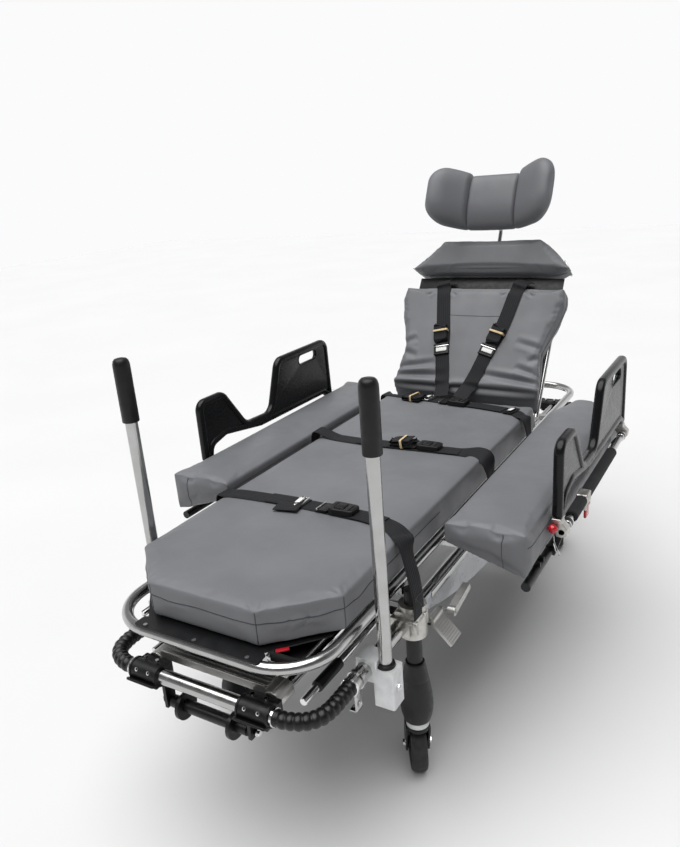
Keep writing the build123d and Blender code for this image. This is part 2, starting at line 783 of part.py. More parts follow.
for side, across in sides.items():
    with BuildPart() as wing_cushion:
        with BuildSketch(Plane.XZ.offset(-wing_y[0])):
            with BuildLine():
                Polyline(
                    (across * wing_in, wing_under[0]),
                    (across * wing_in, mattress_top - 9),
                    (across * (wing_in + 80), mattress_top),
                    (across * wing_out, mattress_top - 6),
                    (across * wing_out, wing_under[1]),
                    close=True,
                )
            make_face()
        extrude(amount=wing_y[0] - wing_y[1])
        with BuildSketch(Plane.XY.offset(wing_under[1] - 20)):
            with BuildLine():
                Polyline(
                    (across * (wing_in - 5), wing_y[1] - 148),
                    (across * (wing_in + 52), wing_y[1] + 1),
                    (across * (wing_in - 5), wing_y[1] + 1),
                    close=True,
                )
            make_face()
        extrude(amount=200, mode=Mode.SUBTRACT)
    write(wing_cushion.part, f"wing_cushion_{side}")

    with BuildPart() as wing_frame:
        add(straight_tube((across * wing_rail_x, wing_y[0] + 24, wing_rail_z),
                          (across * wing_rail_x, wing_y[1] - 24, wing_rail_z), wing_rail_d))
        arm_offset = wing_arm_w / 2 + 1 + 3
        for y in wing_arm_y:
            for shift in (-arm_offset, arm_offset):
                with BuildSketch(Plane.XZ.offset(-(y + shift))):
                    with Locations((across * wing_hinge_x, wing_hinge_z)):
                        Circle(12)
                    with BuildLine():
                        Polyline(
                            (across * 288, wing_hinge_z),
                            (across * 291, under_wing(312) - 4),
                            (across * 312, under_wing(312) - 2),
                            (across * 500, under_wing(500) - 2),
                            (across * 500, wing_rail_z),
                            (across * 478, wing_rail_z + 6),
                            (across * 320, under_wing(320) - 16),
                            (across * 312, wing_hinge_z),
                            close=True,
                        )
                    make_face()
                extrude(amount=3, both=True)
            add(straight_tube((across * wing_hinge_x, y - arm_offset - 5, wing_hinge_z),
                              (across * wing_hinge_x, y + arm_offset + 5, wing_hinge_z), wing_pin_d))
        for y in lug_y:
            with BuildSketch(Plane.XZ.offset(-y)):
                with BuildLine():
                    Polyline(
                        (across * 484, wing_rail_z - 7),
                        (across * 506, wing_rail_z - 11),
                        (across * 529, 560),
                        (across * 538, guard_axis_z),
                        (across * 524, guard_axis_z + 6),
                        (across * 506, 556),
                        (across * 505.5, wing_rail_z + 14),
                        (across * 484, wing_rail_z + 10),
                        close=True,
                    )
                make_face()
                with Locations((across * guard_axis_x, guard_axis_z)):
                    Circle(12.5)
            extrude(amount=lug_t / 2, both=True)
            with BuildSketch(Plane.XZ.offset(-y)):
                with Locations((across * guard_axis_x, guard_axis_z)):
                    Circle(guard_core_d / 2 + running)
            extrude(amount=lug_t, both=True, mode=Mode.SUBTRACT)
    write(wing_frame.part, f"wing_frame_{side}")

    with BuildPart() as guard_board:
        with BuildSketch(Plane.YZ.offset(across * (guard_x[0] + guard_x[1]) / 2)):
            with BuildLine():
                FilletPolyline(
                    (-345, 606), (-345, 792), (-225, 792), (-130, 664), (0, 658), (62, 822),
                    (375, 822), (385, 606), (352, 606), (330, 622), (-60, 626), (-240, 655), (-300, 640),
                    (-304, 606),
                    close=True,
                    radius=(6, 34, 40, 55, 40, 45, 40, 6, 6, 12, 40, 30, 14, 6),
                )
            make_face()
            with Locations((245, 782)):
                SlotCenterToCenter(110, 34, mode=Mode.SUBTRACT)
        extrude(amount=(guard_x[1] - guard_x[0]) / 2, both=True)
    with BuildPart() as guard_brackets:
        for y in (guard_end_y[0] + bracket_w / 2, guard_end_y[1] - bracket_w / 2):
            with Locations((across * (guard_axis_x - 9.25), y, (guard_axis_z - 12.5 + 605.9) / 2)):
                Box(30.5, bracket_w, 605.9 - guard_axis_z + 12.5)
        for x, z, bore in ((guard_axis_x, guard_axis_z, guard_core_d), (knob_x, knob_z, plunger_d)):
            with BuildSketch(Plane.XZ.offset(guard_end_y[1] + 20)):
                with Locations((across * x, z)):
                    Circle(bore / 2 + running)
            extrude(amount=-900, mode=Mode.SUBTRACT)
    write(Compound(children=[guard_board.part, guard_brackets.part]), f"guard_panel_{side}")

    lever_y = -135.0
    with BuildPart() as guard_core:
        add(straight_tube((across * guard_axis_x, guard_end_y[0], guard_axis_z),
                          (across * guard_axis_x, guard_end_y[1], guard_axis_z), guard_core_d))
        with Locations((across * guard_axis_x, lever_y, guard_axis_z)):
            Box(28, 44, 28)
        for y in (lever_y - 19.5, lever_y + 19.5):
            with Locations((across * (guard_axis_x + 8), y, guard_axis_z - 18)):
                Box(10, 5, 16)
        with BuildSketch(Plane.XZ.offset(guard_end_y[1] + 20)):
            with Locations((across * (guard_axis_x + 8), guard_axis_z - 20)):
                Circle(2 + running)
        extrude(amount=-900, mode=Mode.SUBTRACT)
    with BuildPart() as guard_foam:
        for y0, y1 in ((-255, lever_y - 22.1), (lever_y + 22.1, 195)):
            add(straight_tube((across * guard_axis_x, y0, guard_axis_z),
                              (across * guard_axis_x, y1, guard_axis_z), guard_foam_d, guard_core_d + 0.02))
    write(Compound(children=[guard_core.part, guard_foam.part]), f"guard_bar_{side}")

    with BuildPart() as guard_lever:
        add(straight_tube((across * (guard_axis_x + 8), lever_y - 22, guard_axis_z - 20),
                          (across * (guard_axis_x + 8), lever_y + 22, guard_axis_z - 20), 4))
        add(straight_tube((across * (guard_axis_x + 8), lever_y - 16.7, guard_axis_z - 20),
                          (across * (guard_axis_x + 8), lever_y + 16.7, guard_axis_z - 20), 9))
        with Locations((across * (guard_axis_x + 8), lever_y, guard_axis_z - 38)):
            Box(7, 30, 32)
    write(guard_lever.part, f"guard_lever_{side}")

    for end, y_face, out in (("foot", guard_end_y[0], -1), ("head", guard_end_y[1], 1)):
        with BuildPart() as guard_knob:
            with Locations((across * knob_x, y_face + out * (knob_d / 2 + 3), knob_z)):
                Sphere(knob_d / 2)
            add(straight_tube((across * knob_x, y_face + out * 8, knob_z),
                              (across * knob_x, y_face - out * 22, knob_z), plunger_d))
        write(guard_knob.part, f"guard_knob_{end}_{side}")

# ================= roller, pedals =================
with BuildPart() as guide_roller:
    add(straight_tube((-98, roller_y, roller_z), (98, roller_y, roller_z), 27))
    for x in (-66, 66):
        add(straight_tube((x - 4, roller_y, roller_z), (x + 4, roller_y, roller_z), 60))
    add(straight_tube((-120, roller_y, roller_z), (120, roller_y, roller_z), 12))
write(guide_roller.part, "guide_roller")

with BuildPart() as pump_pedal:
    add(straight_tube((pedal_pin_x, pedal_y - 26, pedal_pin_z), (pedal_pin_x, pedal_y + 26, pedal_pin_z), 20))
    tread = Plane(origin=(pedal_pin_x, pedal_y, pedal_pin_z), x_dir=(0, -1, 0), z_dir=(1, 0, 1))
    with BuildSketch(tread.offset(-3)):
        with Locations((0, 38)):
            Rectangle(52, 66)
    extrude(amount=7)
    with BuildSketch(tread.offset(4)):
        with Locations((0, 42)):
            with GridLocations(1, 6.5, 1, 9):
                Rectangle(52, 3)
    extrude(amount=2)
    add(straight_tube((pedal_pin_x, pedal_y - 60, pedal_pin_z), (pedal_pin_x, pedal_y + 60, pedal_pin_z),
                      10 + 2 * running), mode=Mode.SUBTRACT)
write(pump_pedal.part, "pump_pedal")

with BuildPart() as release_lever:
    with BuildSketch(Plane.YZ.offset(release_x)):
        with Locations((release_y, release_z)):
            Circle(11)
        with BuildLine():
            Polyline(
                (release_y - 4, release_z + 9),
                (release_y + 92, release_z + 24),
                (release_y + 96, release_z + 8),
                (release_y + 4, release_z - 10),
                close=True,
            )
        make_face()
        with Locations((release_y, release_z)):
            Circle(4 + running, mode=Mode.SUBTRACT)
    extrude(amount=9, both=True)
write(release_lever.part, "release_lever")

# ================= patient belts =================
# Each belt is a flat band over the mattress with a tail down the right side.
belts = {
    "foot": ((-264, -558), (264, -558)),
    "thigh": ((-264, -112), (264, -112)),
    "lap": ((-262, 336), (262, 262)),
}
buckle_place = {"foot": (88, 0), "thigh": (107, 0), "lap": (30, 0)}
buckle_size = (66.0, 46.0, 17.0)
button_size = (24.0, 26.0)
belt_z = mattress_top + gap


def belt_plane(name):
    (x0, y0), (x1, y1) = belts[name]
    along = Vector(x1 - x0, y1 - y0, 0).normalized()
    return Plane(origin=((x0 + x1) / 2, (y0 + y1) / 2, belt_z), x_dir=along, z_dir=(0, 0, 1))


with BuildPart() as patient_belts:
    for name, ((x0, y0), (x1, y1)) in belts.items():
        with BuildSketch(belt_plane(name)):
            Rectangle(Vector(x1 - x0, y1 - y0, 0).length, strap_w)
        extrude(amount=strap_t)
    for name in ("foot", "thigh"):
        (x0, y0), (x1, y1) = belts[name]
        with BuildSketch(Plane.YZ.offset(mattress_half + gap)):
            with Locations((y1, mattress_top - 40)):
                Rectangle(strap_w, 70)
        extrude(amount=strap_t)
write(patient_belts.part, "patient_belts")

with BuildPart() as belt_buckles:
    for name, (x, y) in buckle_place.items():
        top = belt_plane(name).offset(strap_t + gap)
        with BuildSketch(top):
            with Locations((x, y)):
                RectangleRounded(buckle_size[0], buckle_size[1], 7)
        extrude(amount=buckle_size[2])
        with BuildSketch(top.offset(5)):
            with Locations((x - 6, y)):
                Rectangle(button_size[0] + 2 * gap, button_size[1] + 2 * gap)
        extrude(amount=40, mode=Mode.SUBTRACT)
        with BuildSketch(top.offset(4)):
            with Locations((x - buckle_size[0] / 2 - 18, y)):
                RectangleRounded(34, 42, 4)
        extrude(amount=3)
write(belt_buckles.part, "belt_buckles")

for name, (x, y) in buckle_place.items():
    with BuildPart() as buckle_button:
        with BuildSketch(belt_plane(name).offset(strap_t + gap + 9)):
            with Locations((x - 6, y)):
                RectangleRounded(button_size[0], button_size[1], 2)
        extrude(amount=buckle_size[2] - 8)
    write(buckle_button.part, f"buckle_button_{name}")
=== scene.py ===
import json
import math
import random

import bmesh
import bpy
import numpy as np
from mathutils import Matrix, Vector
from mathutils.bvhtree import BVHTree


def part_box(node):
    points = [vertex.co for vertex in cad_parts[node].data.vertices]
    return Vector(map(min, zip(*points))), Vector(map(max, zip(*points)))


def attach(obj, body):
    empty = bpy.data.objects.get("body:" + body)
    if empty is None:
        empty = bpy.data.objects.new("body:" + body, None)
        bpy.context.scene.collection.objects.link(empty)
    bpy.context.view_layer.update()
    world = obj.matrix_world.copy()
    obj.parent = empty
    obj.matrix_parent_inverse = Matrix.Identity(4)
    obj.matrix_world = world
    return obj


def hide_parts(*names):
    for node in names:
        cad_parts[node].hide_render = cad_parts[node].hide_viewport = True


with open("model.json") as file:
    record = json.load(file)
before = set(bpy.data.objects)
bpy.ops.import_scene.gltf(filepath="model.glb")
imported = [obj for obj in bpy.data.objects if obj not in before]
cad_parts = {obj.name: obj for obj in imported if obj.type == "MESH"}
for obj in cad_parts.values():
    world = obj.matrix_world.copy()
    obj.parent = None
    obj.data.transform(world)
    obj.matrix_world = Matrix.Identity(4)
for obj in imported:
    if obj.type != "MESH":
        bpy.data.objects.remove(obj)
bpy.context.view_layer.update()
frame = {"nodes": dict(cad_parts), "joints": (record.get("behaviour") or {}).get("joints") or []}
random.seed(12)
print("frame loaded:", len(frame["nodes"]), "nodes")

sides = {"right": 1, "left": -1}
corners = {"foot_right": (1, -1), "foot_left": (-1, -1), "head_right": (1, 1), "head_left": (-1, 1)}
joints = {joint["name"]: joint for joint in frame["joints"]}


def linear(hexText):
    values = [int(hexText[i:i + 2], 16) / 255 for i in (1, 3, 5)]
    return tuple(v / 12.92 if v <= 0.04045 else ((v + 0.055) / 1.055) ** 2.4 for v in values) + (1.0,)


def perMetre(sizeMm):  # texture scale that gives features of this size
    return 1000.0 / sizeMm


def addNode(tree, kind, settings=None, links=None):
    node = tree.nodes.new(kind)
    for key, value in (settings or {}).items():
        if isinstance(key, int) or key in node.inputs:
            node.inputs[key].default_value = value
        else:
            setattr(node, key, value)
    for key, source in (links or {}).items():
        tree.links.new(source, node.inputs[key])
    return node


# materials
def startMaterial(name, look):
    made = bpy.data.materials.new(name)
    made.use_nodes = True
    tree = made.node_tree
    shader = tree.nodes["Principled BSDF"]
    shader.inputs["Base Color"].default_value = linear(look["tint"])
    shader.inputs["Roughness"].default_value = look["roughness"]
    shader.inputs["Metallic"].default_value = look.get("metallic", 0.0)
    if "ior" in look:
        shader.inputs["IOR"].default_value = look["ior"]
    if "sheen" in look:
        shader.inputs["Sheen Weight"].default_value = look["sheen"]
        shader.inputs["Sheen Roughness"].default_value = 0.4
    if "coat" in look:
        shader.inputs["Coat Weight"].default_value = look["coat"]
        shader.inputs["Coat Roughness"].default_value = look.get("coatRoughness", 0.1)
    place = addNode(tree, "ShaderNodeTexCoord").outputs["Object"]
    return made, tree, shader, place


def varyTint(tree, shader, place, sizeMm, dark, light, detail=4.0):  # slow colour drift
    noise = addNode(tree, "ShaderNodeTexNoise", {"Scale": perMetre(sizeMm), "Detail": detail},
                    {"Vector": place})
    ramp = addNode(tree, "ShaderNodeValToRGB", links={"Fac": noise.outputs["Fac"]})
    ramp.color_ramp.elements[0].position = 0.3
    ramp.color_ramp.elements[1].position = 0.7
    ramp.color_ramp.elements[0].color = linear(dark)
    ramp.color_ramp.elements[1].color = linear(light)
    tree.links.new(ramp.outputs["Color"], shader.inputs["Base Color"])
    return ramp


def varyRoughness(tree, shader, place, sizeMm, low, high):  # handling marks
    noise = addNode(tree, "ShaderNodeTexNoise", {"Scale": perMetre(sizeMm), "Detail": 5.0}, {"Vector": place})
    spread = addNode(tree, "ShaderNodeMapRange",
                     {"From Min": 0.3, "From Max": 0.7, "To Min": low, "To Max": high},
                     {"Value": noise.outputs["Fac"]})
    tree.links.new(spread.outputs["Result"], shader.inputs["Roughness"])


def addRelief(tree, shader, height, depthMm, strength=1.0):
    bump = addNode(tree, "ShaderNodeBump", {"Strength": strength, "Distance": depthMm / 1000},
                   {"Height": height})
    tree.links.new(bump.outputs["Normal"], shader.inputs["Normal"])


def coatedVinyl():  # polyurethane-coated vinyl, calendered: soft even grey with a fine pebble grain
    look = {"tint": "#66676a", "dark": "#626366", "light": "#6b6c6f", "roughness": 0.5, "ior": 1.46,
            "grainMm": 2.2, "grainDepthMm": 0.10, "cloudMm": 160}
    made, tree, shader, place = startMaterial("vinylCalendered", look)
    varyTint(tree, shader, place, look["cloudMm"], look["dark"], look["light"])
    varyRoughness(tree, shader, place, 45, 0.44, 0.58)
    grain = addNode(tree, "ShaderNodeTexVoronoi", {"Scale": perMetre(look["grainMm"])}, {"Vector": place})
    addRelief(tree, shader, grain.outputs["Distance"], look["grainDepthMm"])
    return made


def wovenWebbing():  # polyester webbing: black, with ribs along its length and cross threads between
    look = {"tint": "#0f1012", "roughness": 0.7, "ior": 1.33, "sheen": 0.05, "ribMm": 7.0, "threadMm": 3.0}
    made, tree, shader, place = startMaterial("polyesterWebbingWoven", look)
    flat = addNode(tree, "ShaderNodeUVMap").outputs["UV"]
    ribs = addNode(tree, "ShaderNodeTexWave", {"wave_type": "BANDS", "bands_direction": "X",
                                               "Scale": perMetre(look["ribMm"]) / 2 / math.pi * 2,
                                               "Distortion": 0.0},
                   {"Vector": flat})
    threads = addNode(tree, "ShaderNodeTexWave", {"wave_type": "BANDS", "bands_direction": "Y",
                                                  "Scale": perMetre(look["threadMm"]) / 2, "Distortion": 0.6,
                                                  "Detail": 1.0}, {"Vector": flat})
    both = addNode(tree, "ShaderNodeMath", {"operation": "MULTIPLY_ADD", 1: 0.25},
                   {0: threads.outputs["Fac"], 2: ribs.outputs["Fac"]})
    ramp = addNode(tree, "ShaderNodeValToRGB", links={"Fac": ribs.outputs["Fac"]})
    ramp.color_ramp.elements[0].color = linear("#0c0d0f")
    ramp.color_ramp.elements[1].color = linear("#1a1b1e")
    tree.links.new(ramp.outputs["Color"], shader.inputs["Base Color"])
    addRelief(tree, shader, both.outputs["Value"], 0.5, 0.8)
    return made


def mouldedNylon():  # glass-filled nylon, moulded: near black, satin with a spark-eroded texture
    look = {"tint": "#0c0c0d", "roughness": 0.36, "ior": 1.38, "sparkMm": 1.6}
    made, tree, shader, place = startMaterial("nylonMoulded", look)
    varyTint(tree, shader, place, 30, "#0b0b0c", "#101011")
    varyRoughness(tree, shader, place, 12, 0.32, 0.5)
    spark = addNode(tree, "ShaderNodeTexNoise", {"Scale": perMetre(look["sparkMm"])}, {"Vector": place})
    addRelief(tree, shader, spark.outputs["Fac"], 0.12, 0.5)
    return made


def rotomouldedPolyethylene():  # polyethylene, rotomoulded: black and glossy, faintly wavy
    look = {"tint": "#0c0d0e", "roughness": 0.22, "ior": 1.33, "waveMm": 60}
    made, tree, shader, place = startMaterial("polyethyleneRotomoulded", look)
    varyTint(tree, shader, place, 90, "#0b0c0d", "#0e0f11")
    varyRoughness(tree, shader, place, 25, 0.24, 0.3)
    wave = addNode(tree, "ShaderNodeTexNoise", {"Scale": perMetre(look["waveMm"]), "Detail": 2.0},
                   {"Vector": place})
    addRelief(tree, shader, wave.outputs["Fac"], 0.5, 0.25)
    return made


def closedCellFoam():  # nitrile foam sleeve, extruded: black, matte, fine pores
    look = {"tint": "#151517", "roughness": 0.85, "poreMm": 1.8}
    made, tree, shader, place = startMaterial("nitrileFoamExtruded", look)
    varyTint(tree, shader, place, 25, "#121214", "#1d1d20")
    pores = addNode(tree, "ShaderNodeTexVoronoi", {"Scale": perMetre(look["poreMm"])}, {"Vector": place})
    addRelief(tree, shader, pores.outputs["Distance"], 0.3, 0.7)
    return made


def redAcetal():  # acetal, moulded: bright red, glossy
    look = {"tint": "#b3071b", "roughness": 0.22, "ior": 1.48, "coat": 0.3}
    made, tree, shader, place = startMaterial("acetalMoulded", look)
    varyTint(tree, shader, place, 14, "#a00616", "#c20a20")
    varyRoughness(tree, shader, place, 8, 0.18, 0.3)
    return made


def polishedStainless():  # stainless tube, polished: bright, with fine rings left by the belt
    look = {"tint": "#b4b4b2", "metallic": 1.0, "roughness": 0.2, "ringMm": 2.4}
    made, tree, shader, place = startMaterial("stainlessPolished", look)
    varyTint(tree, shader, place, 40, "#b0b0ae", "#bababa")
    varyRoughness(tree, shader, place, 18, 0.12, 0.24)
    rings = addNode(tree, "ShaderNodeTexNoise", {"Scale": perMetre(look["ringMm"]), "Detail": 6.0},
                    {"Vector": place})
    addRelief(tree, shader, rings.outputs["Fac"], 0.02, 0.5)
    return made


def chromePlate():  # steel, chromed: mirror bright
    look = {"tint": "#e2e2e2", "metallic": 1.0, "roughness": 0.07}
    made, tree, shader, place = startMaterial("steelChromed", look)
    varyRoughness(tree, shader, place, 10, 0.05, 0.12)
    return made


def castAluminium():  # aluminium, sand cast and tumbled: pale, softly pitted
    look = {"tint": "#b9b7b2", "metallic": 1.0, "roughness": 0.36, "pitMm": 3.0}
    made, tree, shader, place = startMaterial("aluminiumCast", look)
    varyTint(tree, shader, place, 20, "#aeaca7", "#c6c4bf")
    varyRoughness(tree, shader, place, 9, 0.28, 0.46)
    pits = addNode(tree, "ShaderNodeTexNoise", {"Scale": perMetre(look["pitMm"]), "Detail": 6.0},
                   {"Vector": place})
    addRelief(tree, shader, pits.outputs["Fac"], 0.3, 0.5)
    return made


def brushedAluminium():  # aluminium, brushed along X: streaks drawn coarser than the real 0.1 mm so they show
    look = {"tint": "#c2c1be", "metallic": 1.0, "roughness": 0.36, "streakMm": 1.2, "streakLong": 60}
    made, tree, shader, place = startMaterial("aluminiumBrushed", look)
    stretched = addNode(tree, "ShaderNodeMapping", {"Scale": (1 / look["streakLong"], 1.0, 1.0)},
                        {"Vector": place})
    streak = addNode(tree, "ShaderNodeTexNoise", {"Scale": perMetre(look["streakMm"]), "Detail": 3.0},
                     {"Vector": stretched.outputs["Vector"]})
    spread = addNode(tree, "ShaderNodeMapRange",
                     {"From Min": 0.3, "From Max": 0.7, "To Min": 0.32, "To Max": 0.5},
                     {"Value": streak.outputs["Fac"]})
    tree.links.new(spread.outputs["Result"], shader.inputs["Roughness"])
    varyTint(tree, shader, place, 35, "#bcbbb8", "#c9c8c5")
    addRelief(tree, shader, streak.outputs["Fac"], 0.05, 0.4)
    return made


def powderCoat():  # steel, powder coated: black satin with slight orange peel
    look = {"tint": "#0d0e0f", "roughness": 0.38, "ior": 1.42, "peelMm": 2.6}
    made, tree, shader, place = startMaterial("steelPowderCoated", look)
    varyTint(tree, shader, place, 50, "#0c0d0e", "#121214")
    varyRoughness(tree, shader, place, 20, 0.3, 0.46)
    peel = addNode(tree, "ShaderNodeTexNoise", {"Scale": perMetre(look["peelMm"])}, {"Vector": place})
    addRelief(tree, shader, peel.outputs["Fac"], 0.08, 0.4)
    return made


def whitePowderCoat():  # aluminium, powder coated silver-white: the socket blocks and small panels
    look = {"tint": "#cfd0d1", "roughness": 0.35, "metallic": 0.35, "peelMm": 2.4}
    made, tree, shader, place = startMaterial("aluminiumPowderCoated", look)
    varyTint(tree, shader, place, 30, "#c6c7c9", "#dadbdb")
    varyRoughness(tree, shader, place, 14, 0.28, 0.44)
    peel = addNode(tree, "ShaderNodeTexNoise", {"Scale": perMetre(look["peelMm"])}, {"Vector": place})
    addRelief(tree, shader, peel.outputs["Fac"], 0.08, 0.4)
    return made


def mouldedRubber():  # nitrile rubber, moulded: black with a soft shine
    look = {"tint": "#0b0b0c", "roughness": 0.32, "ior": 1.42}
    made, tree, shader, place = startMaterial("rubberMoulded", look)
    varyTint(tree, shader, place, 18, "#09090a", "#0f0f10")
    varyRoughness(tree, shader, place, 10, 0.26, 0.46)
    bloom = addNode(tree, "ShaderNodeTexNoise", {"Scale": perMetre(4)}, {"Vector": place})
    addRelief(tree, shader, bloom.outputs["Fac"], 0.15, 0.4)
    return made


def castTread():  # polyurethane, cast: dark grey, dusty where it rolls
    look = {"tint": "#1b1b1d", "roughness": 0.6, "ior": 1.5}
    made, tree, shader, place = startMaterial("polyurethaneCast", look)
    varyTint(tree, shader, place, 12, "#161617", "#2a2a2b")
    varyRoughness(tree, shader, place, 6, 0.5, 0.75)
    return made


def greyEnamel():  # aluminium sheet, enamelled light grey: smooth with a broad sheen
    look = {"tint": "#a9acb0", "roughness": 0.3, "ior": 1.5, "coat": 0.2}
    made, tree, shader, place = startMaterial("aluminiumEnamelled", look)
    varyTint(tree, shader, place, 70, "#a1a4a8", "#b3b6ba")
    varyRoughness(tree, shader, place, 30, 0.24, 0.38)
    return made


def plainFilm(name, tint, dark):  # printed film: flat colour, slight gloss, no lettering
    look = {"tint": tint, "roughness": 0.35, "ior": 1.45}
    made, tree, shader, place = startMaterial(name, look)
    varyTint(tree, shader, place, 8, dark, tint)
    return made


def rubberBand():  # latex band: beige, dull
    look = {"tint": "#c9b184", "roughness": 0.6}
    made, tree, shader, place = startMaterial("latexCut", look)
    varyTint(tree, shader, place, 5, "#bca377", "#d6c096")
    return made


def studioFloor():  # painted studio board: near white, matte
    look = {"tint": "#cfcfd0", "roughness": 0.9}
    made, tree, shader, place = startMaterial("boardPainted", look)
    varyTint(tree, shader, place, 900, "#cecece", "#d1d1d1")
    return made


vinyl = coatedVinyl()
webbing = wovenWebbing()
nylon = mouldedNylon()
guardPlastic = rotomouldedPolyethylene()
foam = closedCellFoam()
red = redAcetal()
stainless = polishedStainless()
chrome = chromePlate()
castMetal = castAluminium()
brushed = brushedAluminium()
blackCoat = powderCoat()
whiteCoat = whitePowderCoat()
rubber = mouldedRubber()
tread = castTread()
enamel = greyEnamel()
paleFilm = plainFilm("filmPrintedWhite", "#e6e6e3", "#dcdcd9")
redFilm = plainFilm("filmPrintedRed", "#b01222", "#a2101e")
yellowFilm = plainFilm("filmPrintedYellow", "#caa034", "#bd942c")
band = rubberBand()
print("materials made")

# finishes of the CAD pieces that keep their own shape
keptNodes = {
    "corner_castings": castMetal, "leg_sleeves": blackCoat, "side_rails": stainless, "bumper_bars": stainless,
    "bumper_clamps": nylon, "cross_members": stainless, "step_bar": brushed, "upper_frame": stainless,
    "mattress_deck": blackCoat, "frame_fasteners": chrome, "handle_sockets": whiteCoat,
    "hydraulic_pump": brushed, "side_panels": enamel, "backrest_frame": stainless, "head_frame": blackCoat,
    "headrest_post": stainless, "strut_cylinder": blackCoat, "strut_rod": chrome, "guide_roller": rubber,
    "pump_pedal": brushed, "release_lever": brushed,
}
for side in sides:
    keptNodes[f"wing_frame_{side}"] = blackCoat


def dressNode(name, material):
    data = frame["nodes"][name].data
    data.materials.clear()
    data.materials.append(material)


for name, material in keptNodes.items():
    dressNode(name, material)


# mesh helpers
def circle(radius, count=20):
    return [(radius * math.cos(2 * math.pi * i / count), radius * math.sin(2 * math.pi * i / count))
            for i in range(count)]


def roundedBar(width, height, radius, steps=4):
    points = []
    for cx, cy, start in ((1, 1, 0), (-1, 1, 90), (-1, -1, 180), (1, -1, 270)):
        for i in range(steps + 1):
            angle = math.radians(start + 90 * i / steps)
            points.append((cx * (width / 2 - radius) + radius * math.cos(angle),
                           cy * (height / 2 - radius) + radius * math.sin(angle)))
    return points


def smoothRoute(points, step):  # Catmull-Rom through the points, evenly enough spaced
    points = [Vector(p) for p in points]
    padded = [2 * points[0] - points[1], *points, 2 * points[-1] - points[-2]]
    made = []
    for a, b, c, d in zip(padded, padded[1:], padded[2:], padded[3:]):
        count = max(2, round((c - b).length / step))
        for i in range(count):
            t = i / count
            made.append(0.5 * (2 * b + (c - a) * t + (2 * a - 5 * b + 4 * c - d) * t * t
                               + (3 * b - a - 3 * c + d) * t ** 3))
    return made + [points[-1]]


def roundCorners(points, radii, steps=8):  # flat outline with arcs at its corners
    made = []
    total = len(points)
    for i, point in enumerate(points):
        here = Vector(point)
        back = (Vector(points[i - 1]) - here).normalized()
        on = (Vector(points[(i + 1) % total]) - here).normalized()
        radius = radii[i] if isinstance(radii, (list, tuple)) else radii
        half = math.acos(max(-1.0, min(1.0, back.dot(on)))) / 2
        reach = radius / math.tan(half)
        start, end = here + back * reach, here + on * reach
        centre = here + (back + on).normalized() * (radius / math.sin(half))
        for k in range(steps + 1):
            spoke = (start - centre).lerp(end - centre, k / steps).normalized() * radius
            made.append(centre + spoke)
    return made


def insetOutline(points, distance):  # moves a clockwise or counter-clockwise outline inwards
    total = len(points)
    area = sum(points[i - 1][0] * points[i][1] - points[i][0] * points[i - 1][1] for i in range(total))
    turn = 1 if area > 0 else -1
    made = []
    for i in range(total):
        before = Vector(points[i]) - Vector(points[i - 1])
        after = Vector(points[(i + 1) % total]) - Vector(points[i])
        n1 = Vector((-before[1], before[0])).normalized() * turn
        n2 = Vector((-after[1], after[0])).normalized() * turn
        middle = (n1 + n2).normalized()
        made.append(Vector(points[i]) + middle * distance / max(0.3, middle.dot(n1)))
    return made


def sweep(bm, path, profile, ups=None, closed=False, scales=None):
    path = [Vector(p) for p in path]
    count = len(path)
    uvLayer = bm.loops.layers.uv.verify()
    around = [0.0]
    for a, b in zip(profile, [*profile[1:], profile[0]]):
        around.append(around[-1] + math.dist(a, b))
    rings, along, up = [], [0.0], None
    for i, point in enumerate(path):
        ahead = path[(i + 1) % count] if closed or i < count - 1 else point
        behind = path[i - 1] if closed or i > 0 else point
        tangent = (ahead - behind).normalized()
        if ups is not None:
            up = Vector(ups[i] if isinstance(ups, list) else ups)
        elif up is None:
            up = Vector((0, 0, 1)) if abs(tangent.z) < 0.9 else Vector((1, 0, 0))
        up = (up - tangent * up.dot(tangent)).normalized()
        side = tangent.cross(up)
        scale = 1.0 if scales is None else scales[i]
        rings.append([bm.verts.new(point + side * a * scale + up * b * scale) for a, b in profile])
        if i:
            along.append(along[-1] + (point - path[i - 1]).length)
    along.append(along[-1] + (path[0] - path[-1]).length)
    size = len(profile)
    for i in range(count if closed else count - 1):
        one, two = rings[i], rings[(i + 1) % count]
        for k in range(size):
            face = bm.faces.new((one[k], one[(k + 1) % size], two[(k + 1) % size], two[k]))
            spots = ((around[k], along[i]), (around[k + 1], along[i]),
                     (around[k + 1], along[i + 1]), (around[k], along[i + 1]))
            for loop, spot in zip(face.loops, spots):
                loop[uvLayer].uv = spot
    if not closed:
        bm.faces.new(rings[0])
        bm.faces.new(rings[-1])


def lathe(bm, outline, place, turns=40):  # outline of (radius, height) about place's Z
    rings = []
    for radius, height in outline:
        if radius < 1e-6:
            rings.append([bm.verts.new(place @ Vector((0, 0, height)))])
        else:
            rings.append([bm.verts.new(place @ Vector((radius * math.cos(2 * math.pi * i / turns),
                                                       radius * math.sin(2 * math.pi * i / turns), height)))
                          for i in range(turns)])
    for one, two in zip(rings, rings[1:]):
        for i in range(turns):
            j = (i + 1) % turns
            if len(one) == 1 and len(two) == 1:
                continue
            if len(one) == 1:
                bm.faces.new((one[0], two[j], two[i]))
            elif len(two) == 1:
                bm.faces.new((one[i], one[j], two[0]))
            else:
                bm.faces.new((one[i], one[j], two[j], two[i]))


def block(bm, size, place, edge=0.002, steps=2):
    made = bmesh.ops.create_cube(bm, size=1.0, matrix=place @ Matrix.Diagonal((*size, 1.0)))
    edges = list({e for v in made["verts"] for e in v.link_edges})
    bmesh.ops.bevel(bm, geom=edges, offset=edge, segments=steps, affect="EDGES", profile=0.5)


